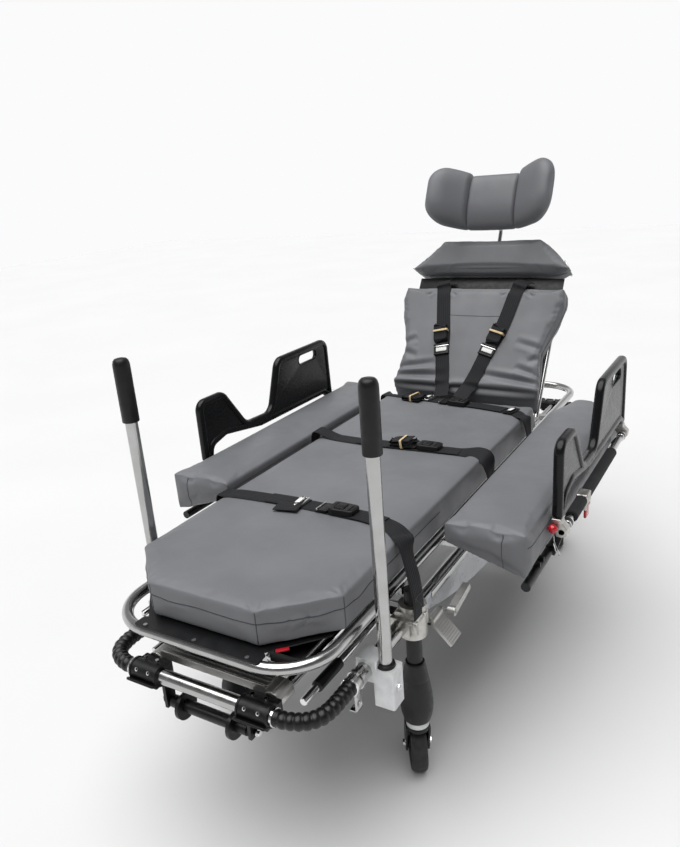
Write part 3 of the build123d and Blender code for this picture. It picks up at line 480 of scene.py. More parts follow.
# flat plate: its outline and holes filled, edges rounded
def cutPlate(bm, outlines, thick, place, edge=0.001):
    curve = bpy.data.curves.new("plateLine", "CURVE")
    curve.dimensions = "2D"
    curve.fill_mode = "BOTH"
    curve.extrude = thick / 2 - edge
    curve.bevel_depth = edge
    curve.bevel_resolution = 2
    curve.offset = -edge
    for outline in outlines:
        spline = curve.splines.new("POLY")
        spline.points.add(len(outline) - 1)
        for point, spot in zip(spline.points, outline):
            point.co = (spot[0], spot[1], 0.0, 1.0)
        spline.use_cyclic_u = True
    holder = bpy.data.objects.new("plateLine", curve)
    bpy.context.scene.collection.objects.link(holder)
    mesh = bpy.data.meshes.new_from_object(holder.evaluated_get(bpy.context.evaluated_depsgraph_get()))
    bpy.data.objects.remove(holder)
    mesh.transform(place)
    bm.from_mesh(mesh)
    bpy.data.meshes.remove(mesh)


def finishPiece(name, bm, material, body, replaced=(), sharp=38):
    bmesh.ops.remove_doubles(bm, verts=bm.verts, dist=1e-6)
    bmesh.ops.recalc_face_normals(bm, faces=bm.faces)
    for face in bm.faces:
        face.smooth = True
    for edge in bm.edges:
        edge.smooth = len(edge.link_faces) != 2 or edge.calc_face_angle(0) < math.radians(sharp)
    mesh = bpy.data.meshes.new(name)
    bm.to_mesh(mesh)
    bm.free()
    piece = bpy.data.objects.new(name, mesh)
    bpy.context.scene.collection.objects.link(piece)
    mesh.materials.append(material)
    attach(piece, body)
    if replaced:
        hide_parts(*replaced)
    return piece


def at(x, y, z, axis="Z"):  # a place in millimetres, its Z turned along an axis
    turn = {"Z": Matrix.Identity(4), "X": Matrix.Rotation(math.pi / 2, 4, "Y"),
            "Y": Matrix.Rotation(-math.pi / 2, 4, "X")}[axis]
    return Matrix.Translation((x / 1000, y / 1000, z / 1000)) @ turn


def mm(*values):
    return Vector(v / 1000 for v in values)


# places on the raised backrest and head section
reclineAngle = math.radians(56)
headAngle = reclineAngle + math.radians(8)
backPlace = (Matrix.Translation(joints["backrest_recline"]["pos_m"]) @ Matrix.Rotation(reclineAngle, 4, "X"))
headPlace = (Matrix.Translation(joints["head_section_tilt"]["pos_m"]) @ Matrix.Rotation(headAngle, 4, "X"))

# cushions
def inflate(piece, settings):  # the cover swells under its foam, then stops at the cap
    for vertex in piece.data.vertices:
        vertex.select = False
    before = np.array([v.co for v in piece.data.vertices], float)
    cloth = piece.modifiers.new("Cloth", "CLOTH")
    cloth.settings.quality = 4
    cloth.settings.mass = 0.35
    cloth.settings.tension_stiffness = settings.get("stretch", 18)
    cloth.settings.compression_stiffness = settings.get("stretch", 18)
    cloth.settings.bending_stiffness = settings.get("bend", 1.2)
    cloth.settings.use_pressure = True
    cloth.settings.uniform_pressure_force = settings.get("pressure", 4.0)
    cloth.settings.shrink_min = settings.get("slack", 0.0)
    cloth.settings.effector_weights.gravity = 0.0
    cloth.collision_settings.use_collision = False
    scene = bpy.context.scene
    for step in range(1, 21):
        scene.frame_set(step)
    swollen = bpy.data.meshes.new_from_object(piece.evaluated_get(bpy.context.evaluated_depsgraph_get()))
    after = np.array([v.co for v in swollen.vertices], float)
    bpy.data.meshes.remove(swollen)
    piece.modifiers.clear()
    scene.frame_set(1)
    move = after - before
    far = np.linalg.norm(move, axis=1, keepdims=True)
    move *= np.minimum(1.0, settings["cap"] / np.maximum(far, 1e-9))
    piece.data.vertices.foreach_set("co", (before + move).astype(np.float32).ravel())
    piece.data.update()


def bakeModifiers(piece):
    mesh = bpy.data.meshes.new_from_object(piece.evaluated_get(bpy.context.evaluated_depsgraph_get()))
    old = piece.data
    piece.modifiers.clear()
    piece.data = mesh
    bpy.data.meshes.remove(old)


def pressCreases(piece, creases):  # (start, end, width, depth) in metres: a narrow furrow in the cover
    mesh = piece.data
    co = np.array([v.co for v in mesh.vertices], float)
    normal = np.array([v.normal for v in mesh.vertices], float)
    push = np.zeros(len(co))
    for start, end, width, depth in creases:
        a, b = np.array(start), np.array(end)
        run = b - a
        share = np.clip(((co - a) @ run) / (run @ run), 0, 1)
        off = np.linalg.norm(co - (a + share[:, None] * run), axis=1)
        taper = np.sin(np.pi * np.clip(share * 0.92 + 0.08, 0, 1)) ** 0.5
        furrow = np.exp(-(off / width) ** 2)
        lip = np.exp(-((off - 1.9 * width) / width) ** 2)
        push += taper * depth * (furrow - 0.4 * lip)
    mesh.vertices.foreach_set("co", (co - normal * push[:, None]).astype(np.float32).ravel())
    mesh.update()


def foamPad(name, node, settings, body, place=None, warp=None, creases=(), replaced=None, mirrored=None):
    if mirrored is None:
        source = frame["nodes"][node]
        piece = bpy.data.objects.new(name, source.data.copy())
        bpy.context.scene.collection.objects.link(piece)
        if warp is not None:
            bm = bmesh.new()
            bm.from_mesh(piece.data)
            bmesh.ops.subdivide_edges(bm, edges=bm.edges, cuts=1)
            bm.to_mesh(piece.data)
            bm.free()
        remesh = piece.modifiers.new("Remesh", "REMESH")
        remesh.mode = "VOXEL"
        remesh.voxel_size = settings["voxel"]
        bakeModifiers(piece)
        bm = bmesh.new()
        bm.from_mesh(piece.data)
        for turn in range(settings["round"]):
            bmesh.ops.smooth_vert(bm, verts=bm.verts, factor=0.5, use_axis_x=True, use_axis_y=True,
                                  use_axis_z=True)
        for vertex in bm.verts:
            vertex.co -= vertex.normal * settings["inset"]
        bm.to_mesh(piece.data)
        bm.free()
        if warp is not None:
            inverse = place.inverted()
            co = np.array([inverse @ v.co for v in piece.data.vertices], float)
            co = warp(co)
            spots = np.array([place @ Vector(p) for p in co], np.float32)
            piece.data.vertices.foreach_set("co", spots.ravel())
            piece.data.update()
        inflate(piece, settings)
        piece.modifiers.new("Subdivision", "SUBSURF").levels = 1
        bakeModifiers(piece)
        if creases:
            pressCreases(piece, creases)
    else:
        piece = bpy.data.objects.new(name, mirrored.data.copy())
        bpy.context.scene.collection.objects.link(piece)
        piece.data.transform(Matrix.Diagonal((-1, 1, 1, 1)))
        piece.data.flip_normals()
    piece.data.materials.clear()
    piece.data.materials.append(vinyl)
    piece.data.polygons.foreach_set("use_smooth", [True] * len(piece.data.polygons))
    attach(piece, body)
    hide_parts(*(replaced or [node]))
    print(name, "padded:", len(piece.data.vertices), "points")
    return piece


def surfaceOf(*pieces):
    bpy.context.view_layer.update()
    trees = []
    for piece in pieces:
        bm = bmesh.new()
        bm.from_mesh(piece.data)
        trees.append(BVHTree.FromBMesh(bm))
        bm.free()
    return trees


def nearest(trees, point):
    best = None
    for tree in trees:
        spot, normal, index, far = tree.find_nearest(point)
        if spot is not None and (best is None or far < best[2]):
            best = (spot, normal, far)
    return best


def seamLine(name, piece, points, body, radius=0.0009, lift=0.0002):  # a sewn seam laid on the cover
    trees = surfaceOf(piece)
    laid = []
    for point in smoothRoute(points, 0.006):
        spot, normal, far = nearest(trees, point)
        laid.append(spot + normal * lift)
    bm = bmesh.new()
    sweep(bm, laid, circle(radius, 6))
    return finishPiece(name, bm, seamThread, body)


seamThread = plainFilm("polyesterThreadSpun", "#3a3b3e", "#323336")

mattressLook = {"voxel": 0.0065, "round": 5, "inset": 0.003, "cap": 0.0045, "pressure": 3.0}
low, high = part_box("mattress")
mattressCreases = []
for across in (-1, 1):
    for x, y, dx, dy in ((0.137, -0.975, -0.02, 0.03), (0.262, -0.858, -0.035, 0.012)):
        for turn in (-0.6, 0.1, 0.7):  # small puckers that run in from each corner
            run = Matrix.Rotation(turn, 2) @ Vector((dx, dy))
            mattressCreases.append(((across * x, y, high.z - 0.004),
                                    (across * (x + run[0]), y + run[1], high.z), 0.004, 0.0016))
mattress = foamPad("mattressPad", "mattress", mattressLook, "chassis", creases=mattressCreases)

backLook = {"voxel": 0.0055, "round": 5, "inset": 0.003, "cap": 0.006, "pressure": 4.0}
backBottom, backTop = 0.035, 0.465


def pinchWaist(co):  # the cover draws in at the waist and flares to the shoulders
    share = np.clip((co[:, 1] - backBottom) / (backTop - backBottom), 0, 1)
    heights = [0.0, 0.12, 0.28, 0.46, 0.62, 0.73, 0.88, 1.0]
    halves = [0.262, 0.259, 0.256, 0.249, 0.270, 0.286, 0.297, 0.290]
    wanted = np.interp(share, heights, halves)
    straight = 0.262 + share * 0.028
    co[:, 0] *= wanted / straight
    crown = np.clip(co[:, 2] / 0.107, 0, 1)
    co[:, 2] += crown * 0.004 * np.cos(co[:, 0] / 0.29 * math.pi / 2)
    return co


def onBack(x, u, n=0.107):
    return backPlace @ Vector((x, u, n))


backCreases = []
for strapX, spread in ((-0.139, 0.045), (0.133, 0.045)):  # gathers beside the tops of the shoulder straps
    for side in (-1, 1):
        for fall, reach in ((0.010, 0.9), (0.026, 0.6)):
            backCreases.append((onBack(strapX + side * 0.026, 0.462 - fall * 0.5),
                                onBack(strapX + side * (0.026 + spread * reach),
                                       0.458 - fall * 1.3), 0.0055, 0.0030))
for side in (-1, 1):
    for u, reach, rise, depth in ((0.240, 0.075 + side * 0.02, 0.024, 0.004),
                                  (0.212, 0.055 - side * 0.01, -0.016, 0.004)):
        backCreases.append((onBack(side * 0.252, u), onBack(side * (0.252 - reach), u + rise), 0.010, depth))
    for u, inner, rise, depth in ((0.122, 0.06, 0.016 + side * 0.006, 0.008),
                                  (0.086, -0.04, 0.002 + side * 0.004, 0.010),
                                  (0.146, 0.14 + side * 0.03, 0.030, 0.005)):
        backCreases.append((onBack(side * 0.262, u), onBack(side * inner, u + rise), 0.010, depth))
backrest = foamPad("backrestPad", "backrest_cushion", backLook, "backrest", backPlace, pinchWaist,
                   backCreases)

headLook = {"voxel": 0.005, "round": 8, "inset": 0.003, "cap": 0.005, "pressure": 4.0}


def slantLower(co):  # the lower edge's face leans so that its underside reaches further down
    near = np.clip(1 - (co[:, 1] - 0.038) / 0.05, 0, 1)
    low = np.clip(1 - (co[:, 2] + 0.006) / 0.0745, 0, 1)
    inside = np.clip((0.289 - np.abs(co[:, 0])) / 0.035, 0, 1)
    co[:, 1] -= 0.026 * near * low * inside
    return co


headPad = foamPad("headSectionPad", "head_cushion", headLook, "head_section", headPlace, slantLower)

wingLook = {"voxel": 0.006, "round": 5, "inset": 0.003, "cap": 0.005, "pressure": 3.5}
wingRight = foamPad("wingPadRight", "wing_cushion_right", wingLook, "wing_right")
wingLeft = foamPad("wingPadLeft", "wing_cushion_left", wingLook, "wing_left", mirrored=wingRight)
wings = {"right": wingRight, "left": wingLeft}

# The headrest is three sewn lobes on one shell: a flat middle and two that wrap forward.
pillowLook = {"middle": (0, 0.279, 0.094), "half": 0.222, "low": 0.104, "high": 0.086, "thick": 0.074,
              "lobeFrom": 0.086,
              "forward": 0.082, "rise": (0.016, 0.026), "columns": 112, "ring": 72}


def headrestShell(look):
    bm = bmesh.new()
    rings = []
    cx, cv, cn = look["middle"]
    for i in range(look["columns"] + 1):
        t = -1 + 2 * i / look["columns"]
        x = look["half"] * math.sin(t * math.pi / 2) if abs(t) < 1 else math.copysign(look["half"], t)
        share = abs(x) / look["half"]
        bulge = max(0.0, (abs(x) - look["lobeFrom"]) / (look["half"] - look["lobeFrom"]))
        end = math.sqrt(max(0.0, 1 - max(0.0, (share - 0.72) / 0.28) ** 2.2))
        valley = math.exp(-((abs(x) - look["lobeFrom"]) / 0.0045) ** 2)
        swell = math.sin(math.pi * min(1.0, 0.08 + bulge * 0.8)) ** 0.6 if bulge > 0 else 0.0
        upper = (look["high"] + look["rise"][x > 0] * swell) * (0.42 + 0.58 * end) - 0.004 * valley
        lower = (look["low"] - 0.010 * share ** 2) * (0.36 + 0.64 * end) - 0.003 * valley
        front = look["thick"] / 2 * (1 + 0.34 * swell) * (0.3 + 0.7 * end) - 0.011 * valley
        rear = look["thick"] / 2 * (0.35 + 0.65 * end)
        ring = []
        for k in range(look["ring"]):
            angle = 2 * math.pi * k / look["ring"]
            c, s = math.cos(angle), math.sin(angle)
            v = math.copysign(abs(c) ** 0.62, c) * (upper if c > 0 else lower)
            n = math.copysign(abs(s) ** 0.8, s) * (front if s > 0 else rear)
            n -= 0.012 * max(0.0, -v / look["low"]) ** 2
            inward = math.copysign(max(0.0, n) * 0.42 * bulge, x)
            ring.append(bm.verts.new(headPlace
                                     @ Vector((cx + x - inward, cv + v,
                                               cn + n + look["forward"] * bulge ** 1.3))))
        rings.append(ring)
    for one, two in zip(rings, rings[1:]):
        for k in range(look["ring"]):
            bm.faces.new((one[k], one[(k + 1) % look["ring"]], two[(k + 1) % look["ring"]], two[k]))
    bm.faces.new(rings[0])
    bm.faces.new(rings[-1])
    return bm


headrest = finishPiece("headrestPad", headrestShell(pillowLook), vinyl, "headrest",
                       ["headrest_cushion"], sharp=80)
print("cushions done")

# legs and castors
legLook = {"x": 282, "y": 617, "swivel": {"foot_right": 32, "foot_left": -18, "head_right": 14,
                                          "head_left": -35},
           "trail": 43, "wheel": 70, "width": 40}
bootLine = [(14.2, 177), (27, 176), (31, 178), (34.5, 190), (37.6, 205), (38.5, 217), (38.2, 232),
            (36.4, 250), (33.8, 268),
            (31.0, 286), (30.2, 288.6), (29.8, 290), (30.0, 291.4), (29.0, 298), (26.2, 314), (23.8, 329), (23.0, 333),
            (21.6, 335), (19.2, 335), (18.4, 332), (18.4, 210), (14.2, 200)]
tyreLine = [(52, -16), (57, -18.5), (62, -19.4), (66.5, -17.5), (69.2, -13), (70, -7), (70, 7), (69.2, 13),
            (66.5, 17.5),
            (62, 19.4), (57, 18.5), (52, 16)]
hubLine = [(5.2, -23), (15, -23), (16.5, -21.5), (17, -15), (24, -13.5), (40, -13.5), (44, -15), (52, -15.2),
           (52, 15.2), (44, 15), (40, 13.5), (24, 13.5), (17, 15), (16.5, 21.5), (15, 23), (5.2, 23)]


def scaled(outline):
    return [(a / 1000, b / 1000) for a, b in outline]


def hexBolt(bm, place, radius, tall):  # bolt head with a washer under it
    lathe(bm, scaled([(0, 0), (radius * 1.45, 0), (radius * 1.45, 1.2), (0, 1.2)]), place, 24)
    lathe(bm, scaled([(0, 1.0), (radius, 1.0), (radius, tall - 0.8), (radius * 0.86, tall), (0, tall)]),
          place, 6)


for corner, (across, along) in corners.items():
    foot = Matrix.Translation(mm(across * legLook["x"], along * legLook["y"], 0))
    bm = bmesh.new()
    lathe(bm, scaled(bootLine), foot, 56)
    finishPiece(f"boot_{corner}", bm, rubber, f"leg_{corner}", [f"leg_lower_{corner}"])
    bm = bmesh.new()
    lathe(bm, scaled([(6.2, 160.4), (26, 160.4), (27, 161.5), (27, 174), (25.8, 175.8), (14, 176),
                      (14, 480), (0, 480)]), foot, 48)
    finishPiece(f"ram_{corner}", bm, whiteCoat, f"leg_{corner}")
    pivot = foot @ Matrix.Rotation(math.radians(legLook["swivel"][corner]), 4, "Z")
    bm = bmesh.new()
    lathe(bm, scaled([(0, 147), (22, 147), (25.6, 148.5), (26, 151), (26, 157), (24.5, 159.6), (6, 160),
                      (6, 177), (0, 177)]), pivot, 48)
    block(bm, mm(58, 50, 7), pivot @ at(0, 19, 150), 0.002)
    cheek = [(-12, 152), (36, 152), (52, 118), (60, 82), (62, 66), (54, 52), (43, 47), (31, 52), (24, 66),
             (18, 84), (-2, 128)]
    for side in (-1, 1):
        face = Matrix(((0, 0, 1, side * 0.0265), (1, 0, 0, 0), (0, 1, 0, 0), (0, 0, 0, 1)))
        outline = roundCorners([mm(*p, 0).to_2d() for p in cheek],
                               [0.004, 0.004, 0.012, 0.012, 0.008, 0.008, 0.008, 0.008, 0.008, 0.012,
                                0.012], 4)
        cutPlate(bm, [outline], 0.0052, pivot @ face, 0.0008)
    finishPiece(f"castorFork_{corner}", bm, blackCoat, f"castor_{corner}",
                [f"castor_fork_{corner}"], sharp=24)
    bm = bmesh.new()
    for side in (-1, 1):
        hexBolt(bm, pivot @ at(side * 29, legLook["trail"], legLook["wheel"], "X")
                @ (Matrix.Identity(4) if side > 0 else Matrix.Rotation(math.pi, 4, "X")), 8, 6.5)
    finishPiece(f"castorBolts_{corner}", bm, chrome, f"castor_{corner}")
    axle = pivot @ at(0, legLook["trail"], legLook["wheel"], "X")
    bm = bmesh.new()
    lathe(bm, scaled(tyreLine), axle, 72)
    finishPiece(f"tyre_{corner}", bm, tread, f"wheel_{corner}", [f"castor_wheel_{corner}"])
    bm = bmesh.new()
    lathe(bm, scaled(hubLine), axle, 56)
    finishPiece(f"hub_{corner}", bm, nylon, f"wheel_{corner}")
print("legs and castors done")

# end hoses: corrugated sleeves bent round the corners
hoseLook = {"core": 14.0, "bead": 3.2, "pitch": 15.0}
hoseRoute = [(177, -1006), (205, -1005), (236, -993), (257, -971), (265, -940), (266, -905), (266, -874)]
hoseLine = smoothRoute([mm(x, y, 438) for x, y in hoseRoute], 0.0012)
walked, total = [0.0], 0.0
for a, b in zip(hoseLine, hoseLine[1:]):
    total += (b - a).length * 1000
    walked.append(total)
for end in (1, -1):
    for across in (1, -1):
        line = [Vector((p.x * across, p.y * end, p.z)) for p in hoseLine]
        bm = bmesh.new()
        fat = [(hoseLook["core"] + hoseLook["bead"]
                * abs(math.sin(math.pi * w / hoseLook["pitch"])) ** 0.7) / 1000 for w in walked]
        sweep(bm, line, circle(1.0, 28), ups=(0, 0, 1), scales=fat)
        finishPiece(f"hose_{end}_{across}", bm, rubber, "chassis", ["bumper_hoses"], sharp=70)
        bm = bmesh.new()
        lathe(bm, scaled([(16.2, -4), (18.6, -3.4), (19, 0), (18.6, 3.4), (16.2, 4)]),
              at(across * 180, end * -1006, 438, "X"), 40)
        lathe(bm, scaled([(17.6, -3), (19.4, -2.4), (19.6, 0), (19.4, 2.4), (17.6, 3)]),
              at(across * 266, end * -872, 438, "Y"), 40)
        finishPiece(f"hoseRings_{end}_{across}", bm, chrome, "chassis")

# push handles
pushLook = {"x": 303, "y": -790}
gripLine = [(14.1, 900), (18.4, 900), (19, 901.2), (19, 1026), (18.5, 1032), (16.6, 1038.4), (13.0, 1042.2),
            (7.5, 1043.8), (0, 1044)]
for side, across in sides.items():
    stand = Matrix.Translation(mm(across * pushLook["x"], pushLook["y"], 0))
    bm = bmesh.new()
    lathe(bm, scaled([(0, 374), (12, 374), (14, 374.6), (14, 902), (0, 902)]), stand, 48)
    finishPiece(f"pushTube_{side}", bm, stainless, f"push_{side}", [f"push_handle_{side}"])
    bm = bmesh.new()
    lathe(bm, scaled(gripLine), stand, 48)
    finishPiece(f"pushGrip_{side}", bm, nylon, f"push_{side}")
    bm = bmesh.new()
    lathe(bm, scaled([(14.3, 445.5), (20, 445.5), (20.5, 447), (19.5, 452), (14.3, 453)]), stand, 40)
    finishPiece(f"socketRing_{side}", bm, nylon, "chassis")
print("handles and hoses done")

# guards: thick moulded rim round a thinner web, on a foam-covered bar
guardLook = {"rim": 22, "deep": 24, "web": 14, "middle": 520, "axis": (532, 575)}
guardCorners = [(-345, 606), (-345, 792), (-225, 792), (-130, 664), (0, 658), (62, 822), (375, 822),
                (385, 606), (352, 606),
                (330, 622), (-60, 626), (-236, 655), (-300, 640), (-308, 606)]
guardRadii = [6, 34, 40, 55, 40, 45, 40, 6, 6, 12, 60, 40, 22, 6]


def guardFace(across):
    return Matrix(((0, 0, 1, across * guardLook["middle"] / 1000), (1, 0, 0, 0), (0, 1, 0, 0), (0, 0, 0, 1)))


def oval(wide, deep, count=20, power=0.8):
    made = []
    for i in range(count):
        angle = 2 * math.pi * i / count
        c, s = math.cos(angle), math.sin(angle)
        made.append((math.copysign(abs(c) ** power, c) * wide / 2,
                     math.copysign(abs(s) ** power, s) * deep / 2))
    return made


def slotLine(middleY, middleZ, length, wide, steps=14):
    made = []
    for sign in (1, -1):
        for i in range(steps + 1):
            angle = math.radians(-90 + 180 * i / steps) if sign > 0 else math.radians(90 + 180 * i / steps)
            made.append(Vector((middleY + sign * (length - wide) / 2 + wide / 2 * math.cos(angle),
                                middleZ + wide / 2 * math.sin(angle))) / 1000)
    return made


guardLine = roundCorners([Vector(p) / 1000 for p in guardCorners], [r / 1000 for r in guardRadii], 9)
webLine = insetOutline(guardLine, 0.015)
rimLine = insetOutline(guardLine, guardLook["rim"] / 2000)
handHole = slotLine(245, 782, 112, 32)
for side, across in sides.items():
    face = guardFace(across)
    bm = bmesh.new()
    sweep(bm, [face @ Vector((p[0], p[1], 0)) for p in rimLine],
          oval(guardLook["rim"] / 1000, guardLook["deep"] / 1000), ups=(1, 0, 0), closed=True)
    sweep(bm, [face @ Vector((p[0], p[1], 0)) for p in insetOutline(handHole, -0.003)], oval(0.009, 0.016),
          ups=(1, 0, 0), closed=True)
    cutPlate(bm, [webLine, handHole], guardLook["web"] / 1000, face, 0.001)
    finishPiece(f"guardShell_{side}", bm, guardPlastic, f"guard_{side}",
                [f"guard_panel_{side}"], sharp=24)
    bm = bmesh.new()
    for y in (-331.5, 371.5):
        ends4 = [(508, 606), (508, 585), (515, 575), (520, 562), (532, 561), (545, 568), (545, 583),
                 (533, 596), (531, 606)]
        outline = roundCorners([Vector((across * a, b)) / 1000 for a, b in ends4], 0.003, 4)
        cutPlate(bm, [outline], 0.027, Matrix(((1, 0, 0, 0), (0, 0, 1, y / 1000), (0, 1, 0, 0),
                                               (0, 0, 0, 1))), 0.002)
    finishPiece(f"guardBrackets_{side}", bm, castMetal, f"guard_{side}", sharp=24)
    ax, az = guardLook["axis"]
    bm = bmesh.new()
    lathe(bm, scaled([(0, -345), (7, -345), (8, -344), (8, 384), (7, 385), (0, 385)]),
          at(across * ax, 0, az, "Y"), 32)
    finishPiece(f"guardCore_{side}", bm, stainless, f"wing_{side}", [f"guard_bar_{side}"])
    bm = bmesh.new()
    for y in (-292, 332):
        for shift in (-9, 9):
            lathe(bm, scaled([(8.1, -3), (11.5, -3), (12, -2.4), (12, 2.4), (11.5, 3), (8.1, 3)]),
                  at(across * ax, y + shift, az, "Y"), 32)
    finishPiece(f"guardCollars_{side}", bm, chrome, f"wing_{side}")
    bm = bmesh.new()
    for y0, y1 in ((-255, -157.2), (-112.8, 195)):
        lathe(bm, scaled([(8.1, y0), (13, y0), (15, y0 + 2.5), (15, y1 - 2.5), (13, y1), (8.1, y1)]),
              at(across * ax, 0, az, "Y"), 40)
    finishPiece(f"guardFoam_{side}", bm, foam, f"wing_{side}")
    bm = bmesh.new()
    block(bm, mm(29, 43, 28), at(across * ax, -135, az), 0.004, 3)
    for shift in (-19.5, 19.5):
        block(bm, mm(10, 5, 18), at(across * (ax + 8), -135 + shift, az - 18), 0.0015)
    for shift in (-12, -4, 4, 12):
        block(bm, mm(31, 3, 18), at(across * ax, -135 + shift, az + 1), 0.001)
    finishPiece(f"guardCatch_{side}", bm, castMetal, f"wing_{side}")
    bm = bmesh.new()
    lathe(bm, scaled([(0, -16.5), (4.4, -16.5), (4.4, 16.5), (0, 16.5)]),
          at(across * (ax + 8), -135, az - 20, "Y"), 24)
    block(bm, mm(7, 29, 30), at(across * (ax + 8), -135, az - 37), 0.0028, 3)
    finishPiece(f"releaseLever_{side}", bm, red, f"guard_release_{side}",
                [f"guard_lever_{side}"])
    for end, y, out in (("foot", -345, -1), ("head", 385, 1)):
        spin = Matrix.Identity(4) if out > 0 else Matrix.Rotation(math.pi, 4, "X")
        seat = at(across * 516, y, 588, "Y") @ spin
        bm = bmesh.new()
        ball = [(0, 24), (4.5, 23.2), (8.2, 20.4), (10.2, 16.4), (10.4, 12.6), (9.0, 8.4), (6.4, 5.8),
                (5.0, 4.8), (0, 4.8)]
        lathe(bm, scaled(ball), seat, 36)
        finishPiece(f"knob_{end}_{side}", bm, red, f"knob_{end}_{side}",
                    [f"guard_knob_{end}_{side}"], sharp=70)
        bm = bmesh.new()
        lathe(bm, scaled([(0, -22), (4, -22), (4, 0.4), (6.6, 0.4), (6.8, 1.2), (6.2, 5.2), (0, 5.4)]),
              seat, 28)
        finishPiece(f"knobStem_{end}_{side}", bm, nylon, f"knob_{end}_{side}")
print("guards done")

# straps
strapLook = {"width": 0.049, "thick": 0.0022, "lift": 0.0009, "columns": 9, "step": 0.006}


def alongRoute(values, counts):  # Catmull-Rom with a set number of steps in each span
    values = [Vector(v) for v in values]
    padded = [2 * values[0] - values[1], *values, 2 * values[-1] - values[-2]]
    made = []
    for a, b, c, d, count in zip(padded, padded[1:], padded[2:], padded[3:], counts):
        for i in range(count):
            t = i / count
            made.append(0.5 * (2 * b + (c - a) * t + (2 * a - 5 * b + 4 * c - d) * t * t
                               + (3 * b - a - 3 * c + d) * t ** 3))
    return made + [values[-1]]


# a route is a list of (point, direction across, resting)
def layStrap(bm, route, trees=(), width=None, lift=None, stiff=0.55):
    width = width or strapLook["width"]
    lift = strapLook["lift"] if lift is None else lift
    counts = [max(2, round((Vector(b[0]) - Vector(a[0])).length / strapLook["step"])) for a,
              b in zip(route, route[1:])]
    points = alongRoute([r[0] for r in route], counts)
    wides = alongRoute([r[1] for r in route], counts)
    rests = [v.x > 0.5 for v in alongRoute([(1.0 if r[2] else 0.0, 0, 0) for r in route], counts)]
    columns = strapLook["columns"]
    offsets = [width * (c / (columns - 1) - 0.5) for c in range(columns)]
    frames, heights = [], np.zeros((len(points), columns))
    floorLevel = np.full((len(points), columns), -1.0)
    for i, point in enumerate(points):
        tangent = (points[min(i + 1, len(points) - 1)] - points[max(i - 1, 0)]).normalized()
        wide = (wides[i] - tangent * wides[i].dot(tangent)).normalized()
        normal = tangent.cross(wide)
        frames.append((point, wide, normal))
        if rests[i]:
            for c, offset in enumerate(offsets):
                start = point + wide * offset + normal * 0.05
                for tree in trees:
                    spot, facing, index, far = tree.ray_cast(start, -normal, 0.1)
                    if spot is not None:
                        floorLevel[i, c] = max(floorLevel[i, c], 0.05 - far)
            known = floorLevel[i][floorLevel[i] > -0.9]
            if len(known):
                heights[i] = np.where(floorLevel[i] > -0.9, floorLevel[i],
                                      known.mean()) * (1 - stiff) + known.max() * stiff
    for turn in range(4):
        smooth = heights.copy()
        smooth[1:-1] = (heights[:-2] + 2 * heights[1:-1] + heights[2:]) / 4
        heights = np.maximum(smooth, np.where(floorLevel > -0.9, floorLevel, -1))
    uvLayer = bm.loops.layers.uv.verify()
    rows, along = [], 0.0
    for i, (point, wide, normal) in enumerate(frames):
        if i:
            along += (point - frames[i - 1][0]).length
        base = [point + wide * o + normal * (heights[i, c] + lift) for c, o in enumerate(offsets)]
        lower = [bm.verts.new(p) for p in base]
        upper = [bm.verts.new(p + normal * strapLook["thick"] * (0.55 if c in (0, columns - 1) else 1.0))
                 for c, p in enumerate(base)]
        ring = lower + upper[::-1]
        spots = [(o, along) for o in offsets] + [(o, along) for o in offsets[::-1]]
        rows.append((ring, spots))
    for (one, spotOne), (two, spotTwo) in zip(rows, rows[1:]):
        size = len(one)
        for k in range(size):
            j = (k + 1) % size
            face = bm.faces.new((one[k], one[j], two[j], two[k]))
            for loop, spot in zip(face.loops, (spotOne[k], spotOne[j], spotTwo[j], spotTwo[k])):
                loop[uvLayer].uv = spot
    bm.faces.new(rows[0][0])
    bm.faces.new(rows[-1][0])


def foldedBundle(bm, place, length, layers, pitch=0.0042, width=0.047):  # slack webbing folded to and fro
    route = []
    wide = place.to_3x3() @ Vector((0, 1, 0))
    for k in range(layers):
        xs = (-length / 2, 0, length / 2) if k % 2 == 0 else (length / 2, 0, -length / 2)
        for j, x in enumerate(xs):
            bow = 0.0012 * math.sin(k * 1.7 + j)
            route.append((place @ Vector((x, 0.0006 * k, k * pitch + bow)), wide, False))
        if k < layers - 1:
            route.append((place @ Vector((xs[2] + math.copysign(pitch * 0.55, xs[2]), 0,
                                          (k + 0.5) * pitch)), wide, False))
    layStrap(bm, route, width=width)


def bandRound(bm, place, wide, tall, broad=0.007):  # elastic band round a bundle
    ring = [place @ Vector((0, a, b)) for a, b in roundedBar(wide, tall, 0.004, 5)]
    sweep(bm, ring, roundedBar(broad, 0.0014, 0.0005, 2),
          ups=[(ring[i] - sum(ring, Vector()) / len(ring)) for i in range(len(ring))], closed=True)


seatTrees = surfaceOf(mattress)
backTrees = surfaceOf(backrest)
seatTop = 0.638
acrossY = Vector((0, 1, 0))


def seatSpot(x, y, z=0.0):
    return Vector((x / 1000, y / 1000, seatTop + z / 1000))


